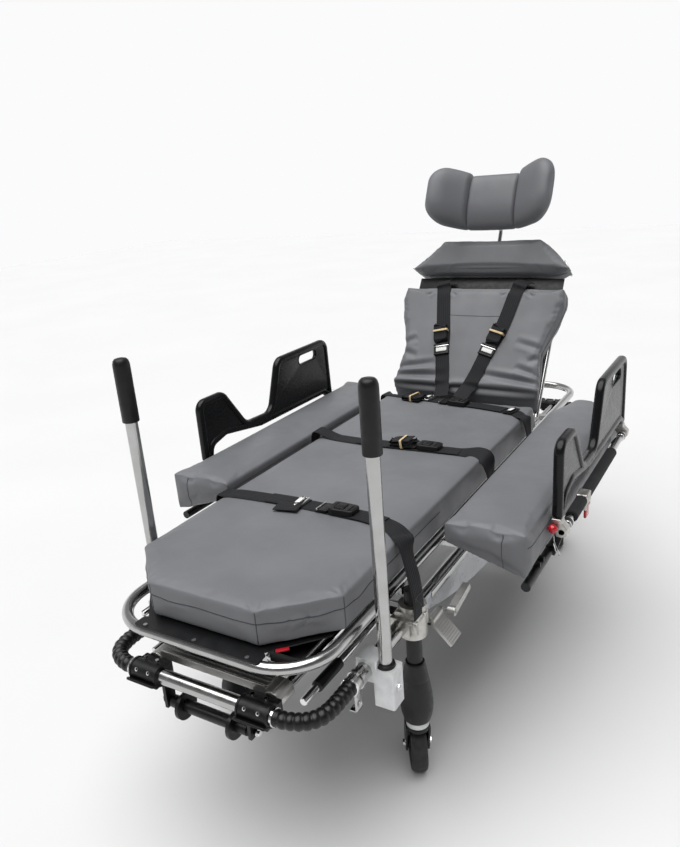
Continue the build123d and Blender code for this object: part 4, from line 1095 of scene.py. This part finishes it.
beltRoutes = {
    "foot": [(mm(-274, -560, 575), (0, 1, 0), False), (mm(-273, -560, 615), (0, 1, 0), False),
             (mm(-267, -561, 638), (0, 1, 0), False),
             (seatSpot(-248, -561), (0, 1, 0), True), (seatSpot(-150, -554), (0.05, 1, 0),
                                                       True), (seatSpot(-11, -551), (0, 1, 0), True),
             (seatSpot(90, -557), (0.05, 1, 0), True), (seatSpot(161, -561), (0.1, 1, 0),
                                                        True), (seatSpot(218, -578), (0.35, 1, 0), True),
             (seatSpot(252, -600), (0.5, 1, 0), True), (mm(270, -618, 634), (0.3, 1, 0),
                                                        False), (mm(281, -628, 606), (0, 1, 0), False),
             (mm(296, -635, 560), (0, 1, 0.1), False), (mm(306, -640, 515), (0, 1, 0),
                                                        False), (mm(308, -642, 470), (0, 1, 0), False)],
    "thigh": [(mm(-276, -100, 590), (0, 1, 0), False), (mm(-276, -102, 625), (0, 1, 0), False),
              (mm(-268, -104, 652), (0, 1, 0), False),
              (seatSpot(-246, -106, 14), (0, 1, 0), False), (seatSpot(-205, -111, 3), (0, 1, 0), False),
              (seatSpot(-160, -116), (0, 1, 0), True), (seatSpot(-40, -120), (0, 1, 0),
                                                        True), (seatSpot(107, -112), (0, 1, 0), True),
              (seatSpot(190, -108), (0.1, 1, 0.1), True), (seatSpot(245, -108, 3), (0.5, 1, 0.6),
                                                           False), (mm(270, -110, 634), (0.5, 1, 0.3), False),
              (mm(280, -112, 600), (0.1, 1, 0), False), (mm(284, -114, 565), (0, 1, 0), False)],
    "lap": [(mm(-276, 352, 590), (0, 1, 0), False), (mm(-274, 351, 618), (0, 1, 0), False),
            (mm(-266, 349, 638), (0.1, 1, 0), False),
            (seatSpot(-240, 345), (0.1, 1, 0), True), (seatSpot(-145, 332), (0.13, 1, 0),
                                                       True), (seatSpot(-49, 318), (0.13, 1, 0), True),
            (seatSpot(40, 304), (0.14, 1, 0), True), (seatSpot(138, 290), (0.16, 1, 0),
                                                      True), (seatSpot(217, 270), (0.3, 1, 0), True),
            (seatSpot(250, 252), (0.4, 1, 0), True), (mm(269, 240, 633), (0.2, 1, 0),
                                                      False), (mm(279, 232, 600), (0, 1, 0), False),
            (mm(283, 230, 565), (0, 1, 0), False)],
}
for name, route in beltRoutes.items():
    bm = bmesh.new()
    layStrap(bm, [(p, Vector(w), rest) for p, w, rest in route], seatTrees)
    finishPiece(f"belt_{name}", bm, webbing, "chassis", ["patient_belts"])
overlaps = {  # second layers: where a strap doubles back through its buckle or adjuster
    "foot": [(112, -558), (150, -561), (196, -570)],
    "thigh": [(128, -112), (160, -110), (196, -109)],
    "lap": [(64, 300), (120, 292), (190, 277)],
    "footTail": [(-20, -552), (-60, -551), (-128, -553)],
    "thighTail": [(8, -118), (-40, -120), (-112, -118)],
    "lapTail": [(-70, 322), (-110, 328), (-160, 335)],
}
for name, spots in overlaps.items():
    bm = bmesh.new()
    if spots[0][0] > spots[-1][0]:
        spots = spots[::-1]
    layStrap(bm, [(seatSpot(x, y), acrossY, True) for x, y in spots], seatTrees, width=0.048, lift=0.0036)
    finishPiece(f"beltDouble_{name}", bm, webbing, "chassis")

buckleLook = {"size": (66, 46, 17), "base": 641}
buckles = {"foot": (88, -558, 0), "thigh": (107, -112, 0), "lap": (29.7, 294.8, -8.04)}
for name, (x, y, angle) in buckles.items():
    seat = Matrix.Translation(mm(x, y, buckleLook["base"])) @ Matrix.Rotation(math.radians(angle), 4, "Z")
    wide, deep, tall = buckleLook["size"]
    body = [Vector(p) / 1000 for p in ((-33, -20), (-20, -23), (24, -21), (33, -17), (33, 17), (24, 21),
                                       (-20, 23), (-33, 20))]
    window = [Vector(p) / 1000 for p in ((-18.6, -13.6), (6.6, -13.6), (6.6, 13.6), (-18.6, 13.6))]
    bm = bmesh.new()
    cutPlate(bm, [roundCorners(body, 0.006, 5), roundCorners(window, 0.002, 3)], tall / 1000,
             seat @ at(0, 0, tall / 2), 0.0028)
    block(bm, mm(28, 30, 7), seat @ at(-6, 0, 4.5), 0.001)
    block(bm, mm(5, 30, 3), seat @ at(20, 0, tall + 0.2), 0.0012)
    block(bm, mm(5, 26, 3), seat @ at(27, 0, tall - 0.6), 0.0012)
    tongueSeat = seat @ at(-51, 0, 5) @ Matrix.Rotation(math.radians(-3), 4, "Y")
    plate = [Vector(p) / 1000 for p in ((-17, -21), (13, -21), (17, -15), (17, 15), (13, 21), (-17, 21))]
    gapLine = [Vector(p) / 1000 for p in ((-13, -19), (-8.5, -19), (-8.5, 19), (-13, 19))]
    cutPlate(bm, [roundCorners(plate, 0.004, 4), roundCorners(gapLine, 0.0012, 3)], 0.0062, tongueSeat,
             0.0016)
    finishPiece(f"buckle_{name}", bm, nylon, "chassis", ["belt_buckles"], sharp=24)
    bm = bmesh.new()
    block(bm, mm(22, 27, 2.2), seat @ at(-32, 0, 6.5), 0.0006)
    block(bm, mm(4, 44, 5), tongueSeat @ at(-11, 0, 3.2), 0.0014)
    finishPiece(f"buckleTongue_{name}", bm, chrome, "chassis")
    bm = bmesh.new()
    block(bm, mm(23.4, 25.4, 9), seat @ at(-6, 0, 13.5), 0.0016, 3)
    for shift in (-6, 0, 6):
        block(bm, mm(1.6, 18, 0.9), seat @ at(-6 + shift, 0, 18.1), 0.0003)
    finishPiece(f"button_{name}", bm, nylon, f"button_{name}", [f"buckle_button_{name}"])

adjusters = {  # bar, place, turn about Z, tip
    "foot": (-40, -551, 4, 6), "thigh": (-72, -118, 0, 3), "lap": (214, 271, -14,
                                                                   5), "lapLeft": (-92, 327, -8, 6),
}
for name, (x, y, angle, tip) in adjusters.items():
    seat = (Matrix.Translation(mm(x, y, 644.5)) @ Matrix.Rotation(math.radians(angle), 4, "Z")
            @ Matrix.Rotation(math.radians(-tip), 4, "Y"))
    frameLine = [Vector(p) / 1000 for p in ((-16, -28), (16, -28), (16, 28), (-16, 28))]
    slots = [[Vector((cx + dx, dy)) / 1000 for dx, dy in ((-3, -24.6), (3, -24.6), (3, 24.6), (-3, 24.6))]
             for cx in (-8, 8)]
    bm = bmesh.new()
    cutPlate(bm, [roundCorners(frameLine, 0.004, 4), *[roundCorners(line, 0.001, 2) for line in slots]],
             0.0034, seat, 0.0009)
    block(bm, mm(7, 52, 6), seat @ at(0, 0, 2.2), 0.0022, 3)
    finishPiece(f"adjuster_{name}", bm, chrome if name != "lap" else nylon, "chassis",
                sharp=24)
    bm = bmesh.new()
    block(bm, mm(13, 26, 0.6), seat @ at(0 if name != "foot" else 1, 0, 5.6), 0.0002)
    finishPiece(f"adjusterLabel_{name}", bm, paleFilm, "chassis")

bundles = {"thigh": (28, -116, 1, 58, 5, 8), "lap": (-134, 300, -12, 62, 4, 3),
           "foot": (-52, -584, 10, 60, 2, 0)}
for name, (x, y, angle, long, layers, tip) in bundles.items():
    seat = (Matrix.Translation(mm(x, y, 643.5)) @ Matrix.Rotation(math.radians(angle), 4, "Z")
            @ Matrix.Rotation(math.radians(-tip), 4, "Y"))
    bm = bmesh.new()
    foldedBundle(bm, seat, long / 1000, layers)
    finishPiece(f"slack_{name}", bm, webbing, "chassis")
    if layers > 2:
        bm = bmesh.new()
        bandRound(bm, seat @ at(4, 0, layers * 2.1 + 0.6), 0.0505, layers * 0.0043 + 0.0035)
        finishPiece(f"slackBand_{name}", bm, band, "chassis")

# shoulder straps over the backrest, down to the lap belt
headward = {"left": [(-152, 500, 60), (-147, 482, 96), (-141, 466, 110), (-134, 440, 107), (-112, 330, 107),
                     (-101, 278, 107), (-92, 215, 107),
                     (-78, 150, 112), (-68, 100, 114)],
            "right": [(146, 500, 60), (141, 482, 96), (136, 466, 110), (128, 440, 107), (112, 350, 107),
                      (97, 290, 107), (70, 224, 107),
                      (48, 150, 112), (32, 100, 114)]}
seatEnds = {"left": [(-62, 376, 30), (-56, 348, 8)], "right": [(24, 372, 30), (14, 340, 8)]}
for name, spots in headward.items():
    lean = Vector((spots[-1][0] - spots[0][0], spots[-1][1] - spots[0][1], 0)).normalized()
    wideBack = backPlace.to_3x3() @ Vector((lean.y, -lean.x, 0)) * -1
    route = [(onBack(x / 1000, u / 1000, n / 1000), -wideBack, 95 < u < 455) for x, u, n in spots[::-1]]
    route = [(seatSpot(*p), -wideBack, False) for p in seatEnds[name][::-1]] + route
    bm = bmesh.new()
    layStrap(bm, route, backTrees)
    finishPiece(f"shoulderStrap_{name}", bm, webbing, "backrest", ["shoulder_harness"])
    sign = -1 if name == "left" else 1
    (ax, au), (bx, bu) = ((-96, 222), (-108, 280)) if name == "left" else ((69, 226), (91, 282))
    turn = math.degrees(math.atan2(lean.y, lean.x)) + 90
    seat = backPlace @ Matrix.Translation(mm(ax, au, 112)) @ Matrix.Rotation(math.radians(turn), 4, "Z")
    bm = bmesh.new()
    block(bm, mm(54, 38, 5), seat @ at(0, 0, 1), 0.0022, 3)
    block(bm, mm(54, 8, 9), seat @ at(0, 16, 3), 0.0025, 3)
    block(bm, mm(54, 7, 8), seat @ at(0, -17, 2.6), 0.0025, 3)
    finishPiece(f"shoulderAdjuster_{name}", bm, nylon, "backrest")
    bm = bmesh.new()
    block(bm, mm(38, 15, 0.8), seat @ at(0, 0, 3.8), 0.0002)
    finishPiece(f"shoulderLabel_{name}", bm, paleFilm, "backrest")
    bm = bmesh.new()
    block(bm, mm(56, 3.4, 3.4), seat @ at(0, 10, 6.2), 0.0012)
    finishPiece(f"shoulderBar_{name}", bm, chrome, "backrest")
    seat = (backPlace @ Matrix.Translation(mm(bx, bu, 112))
            @ Matrix.Rotation(math.radians(turn + 90), 4, "Z"))
    bm = bmesh.new()
    foldedBundle(bm, seat, 0.050, 4)
    finishPiece(f"shoulderSlack_{name}", bm, webbing, "backrest")
    bm = bmesh.new()
    bandRound(bm, seat @ at(-8 * sign * 0 + 6, 0, 8.5), 0.051, 0.021)
    finishPiece(f"shoulderBand_{name}", bm, band, "backrest")


def stitchBox(name, place, size, body, rows=1):  # box with a cross, sewn through the webbing
    bm = bmesh.new()
    a, b = size[0] / 2000, size[1] / 2000
    runs = [((-a, -b), (a, -b)), ((a, -b), (a, b)), ((a, b), (-a, b)), ((-a, b), (-a, -b)),
            ((-a, -b), (a, b)), ((-a, b), (a, -b))]
    for (x0, y0), (x1, y1) in runs:
        count = max(3, round(math.dist((x0, y0), (x1, y1)) / 0.0042))
        for i in range(count):
            t0, t1 = (i + 0.15) / count, (i + 0.75) / count
            ends2 = [place @ Vector((x0 + (x1 - x0) * t, y0 + (y1 - y0) * t, 0.0004)) for t in (t0, t1)]
            sweep(bm, ends2, circle(0.00045, 5))
    return finishPiece(name, bm, seamThread, body)


stitchBox("stitches_foot", Matrix.Translation(seatSpot(163, -562, 6.2)) @ Matrix.Rotation(-0.08, 4, "Z"),
          (40, 36), "chassis")
stitchBox("stitches_thigh", Matrix.Translation(seatSpot(170, -110, 6.4)), (34, 36), "chassis")
stitchBox("stitches_lap", Matrix.Translation(seatSpot(140, 289, 6.2)) @ Matrix.Rotation(-0.15, 4, "Z"),
          (36, 36), "chassis")
fall = Matrix(((0, 0, 1, 0.3106), (1, 0, 0, -0.640), (0, 1, 0, 0.505), (0, 0, 0, 1)))
stitchBox("stitches_post", fall, (36, 40), "chassis")
bm = bmesh.new()
block(bm, mm(6, 60, 14), at(309, -642, 466), 0.002)
block(bm, mm(26, 12, 10), at(303, -664, 466), 0.002)
block(bm, mm(26, 12, 10), at(303, -620, 466), 0.002)
finishPiece("beltBracket", bm, castMetal, "chassis")
print("belts done")

# sewn seams
def seamRun(name, piece, body, spots, place=None):
    points = [mm(*p) if place is None else place @ mm(*p) for p in spots]
    seamLine(name, piece, points, body)


hem = 604
seamRun("seamMattressFoot", mattress, "chassis",
        [(-272, -560, hem), (-272, -700, hem), (-271, -850, hem), (-205, -921, hem), (-140, -984, hem),
                                                  (0, -985, hem), (140, -984,
                                                                   hem), (205, -921,
                                                                          hem), (271, -850,
                                                                                 hem), (272, -700, hem), (272, -400, hem)])
for across in (-1, 1):
    seamRun(f"seamFootCorner_{across}", mattress, "chassis",
            [(across * 138, -984, 556), (across * 138, -984, 600), (across * 137, -982, 632)])
    seamRun(f"seamSideCorner_{across}", mattress, "chassis",
            [(across * 270, -860, 556), (across * 270, -860, 600), (across * 269, -859, 632)])
seamRun("seamBackMiddle", backrest, "backrest",
        [(-112, 352, 112), (-40, 350, 112), (40, 350, 112), (104, 352, 112)], backPlace)
for across in (-1, 1):
    seamRun(f"seamBackSide_{across}", backrest, "backrest",
            [(across * 274, 60, 70), (across * 258, 200, 70), (across * 288, 320, 70),
             (across * 300, 455, 70)], backPlace)
    seamRun(f"seamHeadSide_{across}", headPad, "head_section",
            [(across * 292, 40, 34), (across * 240, 95, 34), (across * 182, 148, 34)], headPlace)
seamRun("seamHeadLower", headPad, "head_section", [(-280, 22, 34), (0, 22, 34), (280, 22, 34)], headPlace)
seamRun("seamHeadUpper", headPad, "head_section", [(-178, 154, 34), (0, 156, 34), (178, 154, 34)], headPlace)
for side, across in sides.items():
    seamRun(f"seamWingRise_{side}", wings[side], f"wing_{side}",
            [(across * 446, -508, 540), (across * 446, -508, 600), (across * 446, -506, 630)])
    seamRun(f"seamWingEdge_{side}", wings[side], f"wing_{side}",
            [(across * 507, -495, 600), (across * 507, 0, 600), (across * 507, 470, 600)])
    seamRun(f"seamWingInner_{side}", wings[side], f"wing_{side}",
            [(across * 299, -495, 606), (across * 299, -200, 606), (across * 299, 320, 606)])

# small fittings
bm = bmesh.new()
for side in (-1, 1):
    for end in (-1, 1):
        block(bm, mm(4, 1060 / 2, 16), at(side * 297, end * 282, 468), 0.0015)
finishPiece("sideStrips", bm, stainless, "chassis")
bm = bmesh.new()
for side in (-1, 1):
    block(bm, mm(4, 24, 60), at(side * 266, -845, 394), 0.0012)
    block(bm, mm(18, 24, 4), at(side * 259, -845, 366), 0.0012)
    for end in (-1, 1):
        lathe(bm, scaled([(17.7, -5), (20.5, -5), (20.5, 5), (17.7, 5)]),
              at(side * 266, end * 845, 438, "Y"), 36)
    hexBolt(bm, at(side * 268.2, -845, 380, "X"), 5, 5)
finishPiece("sideHooks", bm, stainless, "chassis")
bm = bmesh.new()
for side in (-1, 1):
    flip = Matrix.Identity(4) if side > 0 else Matrix.Rotation(math.pi, 4, "X")
    hexBolt(bm, at(side * 330.2, -790, 402, "X") @ flip, 6.5, 5)
    hexBolt(bm, at(side * 120, -990, 366, "X") @ flip, 6, 6)
    for end in (-1, 1):
        for x in (123.5, 155.5):
            lathe(bm, scaled([(0, 0), (4.6, 0), (4.8, 1), (4.2, 2.6), (2.4, 3.0), (2.0, 2.0), (0, 2.0)]),
                  at(side * x, end * 1022, 449) @ Matrix.Rotation(math.radians(60 * -end), 4, "X"), 20)
finishPiece("fittingBolts", bm, chrome, "chassis")
bm = bmesh.new()
for end in (-1, 1):
    for side in (-1, 1):
        flange = [Vector(p) / 1000 for p in ((-38, -22), (38, -22), (38, 16), (28, 22), (-28, 22), (-38, 16))]
        tip = at(side * 139.5, end * 1018, 421) @ Matrix.Rotation(math.radians(26 * end), 4, "X")
        cutPlate(bm, [roundCorners(flange, 0.005, 4)], 0.005, tip, 0.0016)
        lathe(bm, scaled([(22.1, -36.4), (23.4, -36), (23.4, -32), (22.1, -31.6)]),
              at(side * 139.5, end * 1006, 438, "X"), 48)
        lathe(bm, scaled([(22.1, 31.6), (23.4, 32), (23.4, 36), (22.1, 36.4)]),
              at(side * 139.5, end * 1006, 438, "X"), 48)
finishPiece("clampFlanges", bm, nylon, "chassis", sharp=24)
bm = bmesh.new()
for side in (-1, 1):  # curved saddles that hold the step bar on its arms
    arc = []
    for i in range(15):
        angle = math.radians(-18 + 216 * i / 14)
        arc.append(Vector((side * 150 + 20.5 * math.cos(angle), 438 + 20.5 * math.sin(angle))) / 1000)
    inner = [Vector((side * 150 + (p.x * 1000 - side * 150) * 0.9, 438 + (p.y * 1000 - 438) * 0.9)) / 1000
             for p in arc[::-1]]
    cutPlate(bm, [arc + inner], 0.050, Matrix(((1, 0, 0, 0), (0, 0, 1, -0.948), (0, 1, 0, 0),
                                               (0, 0, 0, 1))), 0.0008)
for shift in (-21.4, 21.4):
    block(bm, mm(268, 3.2, 5), at(0, -948 + shift, 465.6), 0.0012)
finishPiece("stepSaddles", bm, brushed, "chassis", sharp=24)
bm = bmesh.new()
for x in (-196, 196):
    lathe(bm, scaled([(0, -935), (7, -935), (8, -934), (8, -632), (0, -632)]), at(x, 0, 424, "Y"), 28)
    lathe(bm, scaled([(0, -900), (8, -900), (8, -632), (0, -632)]), at(x * 0.5, 0, 468, "Y"), 28)
for x in (-214, 214):
    block(bm, mm(9, 300, 12), at(x, -782, 512), 0.0015)
finishPiece("innerRails", bm, chrome, "chassis")
bm = bmesh.new()
for x in (-196, 196):
    lathe(bm, scaled([(8.1, -884), (12, -884), (12.6, -882), (12.6, -800), (12, -798), (8.1, -798)]),
          at(x, 0, 424, "Y"), 32)
finishPiece("railGrips", bm, nylon, "chassis")
bm = bmesh.new()
block(bm, mm(400, 300, 3), at(0, -782, 520), 0.001)
block(bm, mm(60, 290, 26), at(150, -782, 503), 0.003)
block(bm, mm(60, 290, 26), at(-150, -782, 503), 0.003)
finishPiece("underTray", bm, blackCoat, "chassis")
bm = bmesh.new()
for x, y, w, d in ((62, -762, 74, 130), (-62, -762, 74, 130)):
    block(bm, mm(w, d, 3), at(x, y, 414) @ Matrix.Rotation(0.12, 4, "X"), 0.001)
finishPiece("palePanels", bm, whiteCoat, "chassis")
bm = bmesh.new()
block(bm, mm(26, 9, 3), at(174, -952, 549.4) @ Matrix.Rotation(0.75, 4, "Z"), 0.0008)
finishPiece("redTag", bm, redFilm, "chassis")
bm = bmesh.new()
toward = Vector((0.40, -0.917, 0))
spot = mm(282, -617, 452) + toward * 0.0312
turnDisc = toward.to_track_quat("Z", "Y").to_matrix().to_4x4()
lathe(bm, scaled([(0, 0), (8.5, 0), (8.5, 0.5), (0, 0.5)]), Matrix.Translation(spot) @ turnDisc, 32)
finishPiece("castingSticker", bm, paleFilm, "chassis")
bm = bmesh.new()
block(bm, mm(0.6, 168, 20), at(-514.7, 238, 716), 0.0002)
finishPiece("guardLabelInner", bm, paleFilm, "guard_left")
bm = bmesh.new()
block(bm, mm(0.6, 70, 18), at(525.3, 262, 700), 0.0002)
finishPiece("guardLabelOuter", bm, paleFilm, "guard_right")
bm = bmesh.new()
block(bm, mm(0.6, 18, 18), at(525.4, 218, 700), 0.0002)
finishPiece("guardLabelRed", bm, redFilm, "guard_right")
bm = bmesh.new()
block(bm, mm(0.6, 60, 14), at(525.3, 250, 742), 0.0002)
finishPiece("guardLabelYellow", bm, yellowFilm, "guard_right")
for side, across in sides.items():  # wire pin that hangs under the front knob
    bm = bmesh.new()
    loop = [mm(across * x, y, z) for x, y,
            z in ((516, -352, 575), (520, -358, 556), (528, -362, 540), (534, -360, 528), (531, -356, 522),
                  (524, -357, 532), (518, -356, 550))]
    sweep(bm, smoothRoute(loop, 0.003), circle(0.0012, 8))
    finishPiece(f"wirePin_{side}", bm, chrome, f"guard_{side}")
bm = bmesh.new()
for side in (-1, 1):
    block(bm, mm(16, 12, 24), headPlace @ at(side * 232, 30, -10), 0.002)
    hexBolt(bm, headPlace @ at(side * 240.2, 30, -10, "X")
            @ (Matrix.Identity(4) if side > 0 else Matrix.Rotation(math.pi, 4, "X")), 4.5, 4)
    block(bm, mm(6, 60, 12), headPlace @ at(side * 262, 66, -13) @ Matrix.Rotation(side * 0.5, 4, "Z"),
          0.0015)
finishPiece("headHardware", bm, castMetal, "head_section")
# black sheets at the backrest top and under the head pad: painted shade, standing in for the shadow that fills these
# gaps
bm = bmesh.new()
block(bm, mm(528, 64, 3), backPlace @ at(0, 488, 44), 0.001)
finishPiece("backGapShadeSheet", bm, nylon, "backrest")
bm = bmesh.new()
block(bm, mm(470, 20, 12), headPlace @ at(0, 24, -4), 0.002)
finishPiece("headGapShadeSheet", bm, nylon, "head_section")
print("seams and fittings done")

# camera, lights, floor
cameraLook = {"place": (0.9136, -1.8807, 1.3802), "azimuth": 32.09, "elevation": 19.48, "roll": -4.55,
              "lensMm": 31.4692, "shift": (0.0039, 0.016)}
azimuth, elevation, roll = (math.radians(cameraLook[k]) for k in ("azimuth", "elevation", "roll"))
right = Vector((math.cos(azimuth), math.sin(azimuth), 0))
back = Vector((math.sin(azimuth) * math.cos(elevation), -math.cos(azimuth) * math.cos(elevation),
               math.sin(elevation)))
up = back.cross(right)
rolledRight = right * math.cos(roll) + up * math.sin(roll)
rolledUp = up * math.cos(roll) - right * math.sin(roll)
lens = bpy.data.cameras.new("studioCamera")
lens.sensor_width = 36
lens.lens = cameraLook["lensMm"]
lens.shift_x, lens.shift_y = cameraLook["shift"]
lens.clip_end = 60
camera = bpy.data.objects.new("studioCamera", lens)
turn = Matrix((rolledRight, rolledUp, back)).transposed().to_4x4()
camera.matrix_world = Matrix.Translation(cameraLook["place"]) @ turn
bpy.context.scene.collection.objects.link(camera)
bpy.context.scene.camera = camera

lightLook = {"strength": 4.1, "spread": 70, "tiltAcross": 4, "tiltFoot": 12, "horizon": 1.0, "above": 0.34,
             "horizonHeight": 0.2, "behind": 0.3}
lamp = bpy.data.lights.new("overheadSoftbox", "SUN")
lamp.energy = lightLook["strength"]
lamp.angle = math.radians(lightLook["spread"])
holder = bpy.data.objects.new("overheadSoftbox", lamp)
tilt = Matrix.Rotation(math.radians(lightLook["tiltFoot"]), 4,
                       "X") @ Matrix.Rotation(math.radians(-lightLook["tiltAcross"]), 4, "Y")
holder.matrix_world = Matrix.Translation((0, 0, 3)) @ tilt
bpy.context.scene.collection.objects.link(holder)
world = bpy.data.worlds.new("studioAir")
world.use_nodes = True
air = world.node_tree
facing = addNode(air, "ShaderNodeTexCoord").outputs["Generated"]
height = addNode(air, "ShaderNodeSeparateXYZ", links={"Vector": facing}).outputs["Z"]
fade = addNode(air, "ShaderNodeMapRange",
               {"From Min": lightLook["horizonHeight"], "From Max": lightLook["horizonHeight"] + 0.25,
                                           "To Min": lightLook["horizon"], "To Max": lightLook["above"]}, {"Value": height})
ahead = addNode(air, "ShaderNodeVectorMath", {"operation": "DOT_PRODUCT", 1: (-0.53, 0.848, 0.0)},
                {0: facing})
behind = addNode(air, "ShaderNodeMapRange",
                 {"From Min": -0.35, "From Max": 0.35, "To Min": lightLook["behind"], "To Max": 1.0},
                 {"Value": ahead.outputs["Value"]})
product = addNode(air, "ShaderNodeMath", {"operation": "MULTIPLY"},
                  {0: fade.outputs["Result"], 1: behind.outputs["Result"]})
air.nodes["Background"].inputs["Color"].default_value = linear("#fbfbfc")
air.links.new(product.outputs["Value"], air.nodes["Background"].inputs["Strength"])
bpy.context.scene.world = world
bpy.context.scene.view_settings.view_transform = "Standard"

floorMesh = bpy.data.meshes.new("studioFloor")
reach = 14.0
floorMesh.from_pydata([(-reach, -reach, 0), (reach, -reach, 0), (reach, reach, 0), (-reach, reach, 0)], [],
                      [(0, 1, 2, 3)])
floorMesh.materials.append(studioFloor())
floor = bpy.data.objects.new("studioFloor", floorMesh)
bpy.context.scene.collection.objects.link(floor)
print("studio set")

bpy.context.view_layer.update()
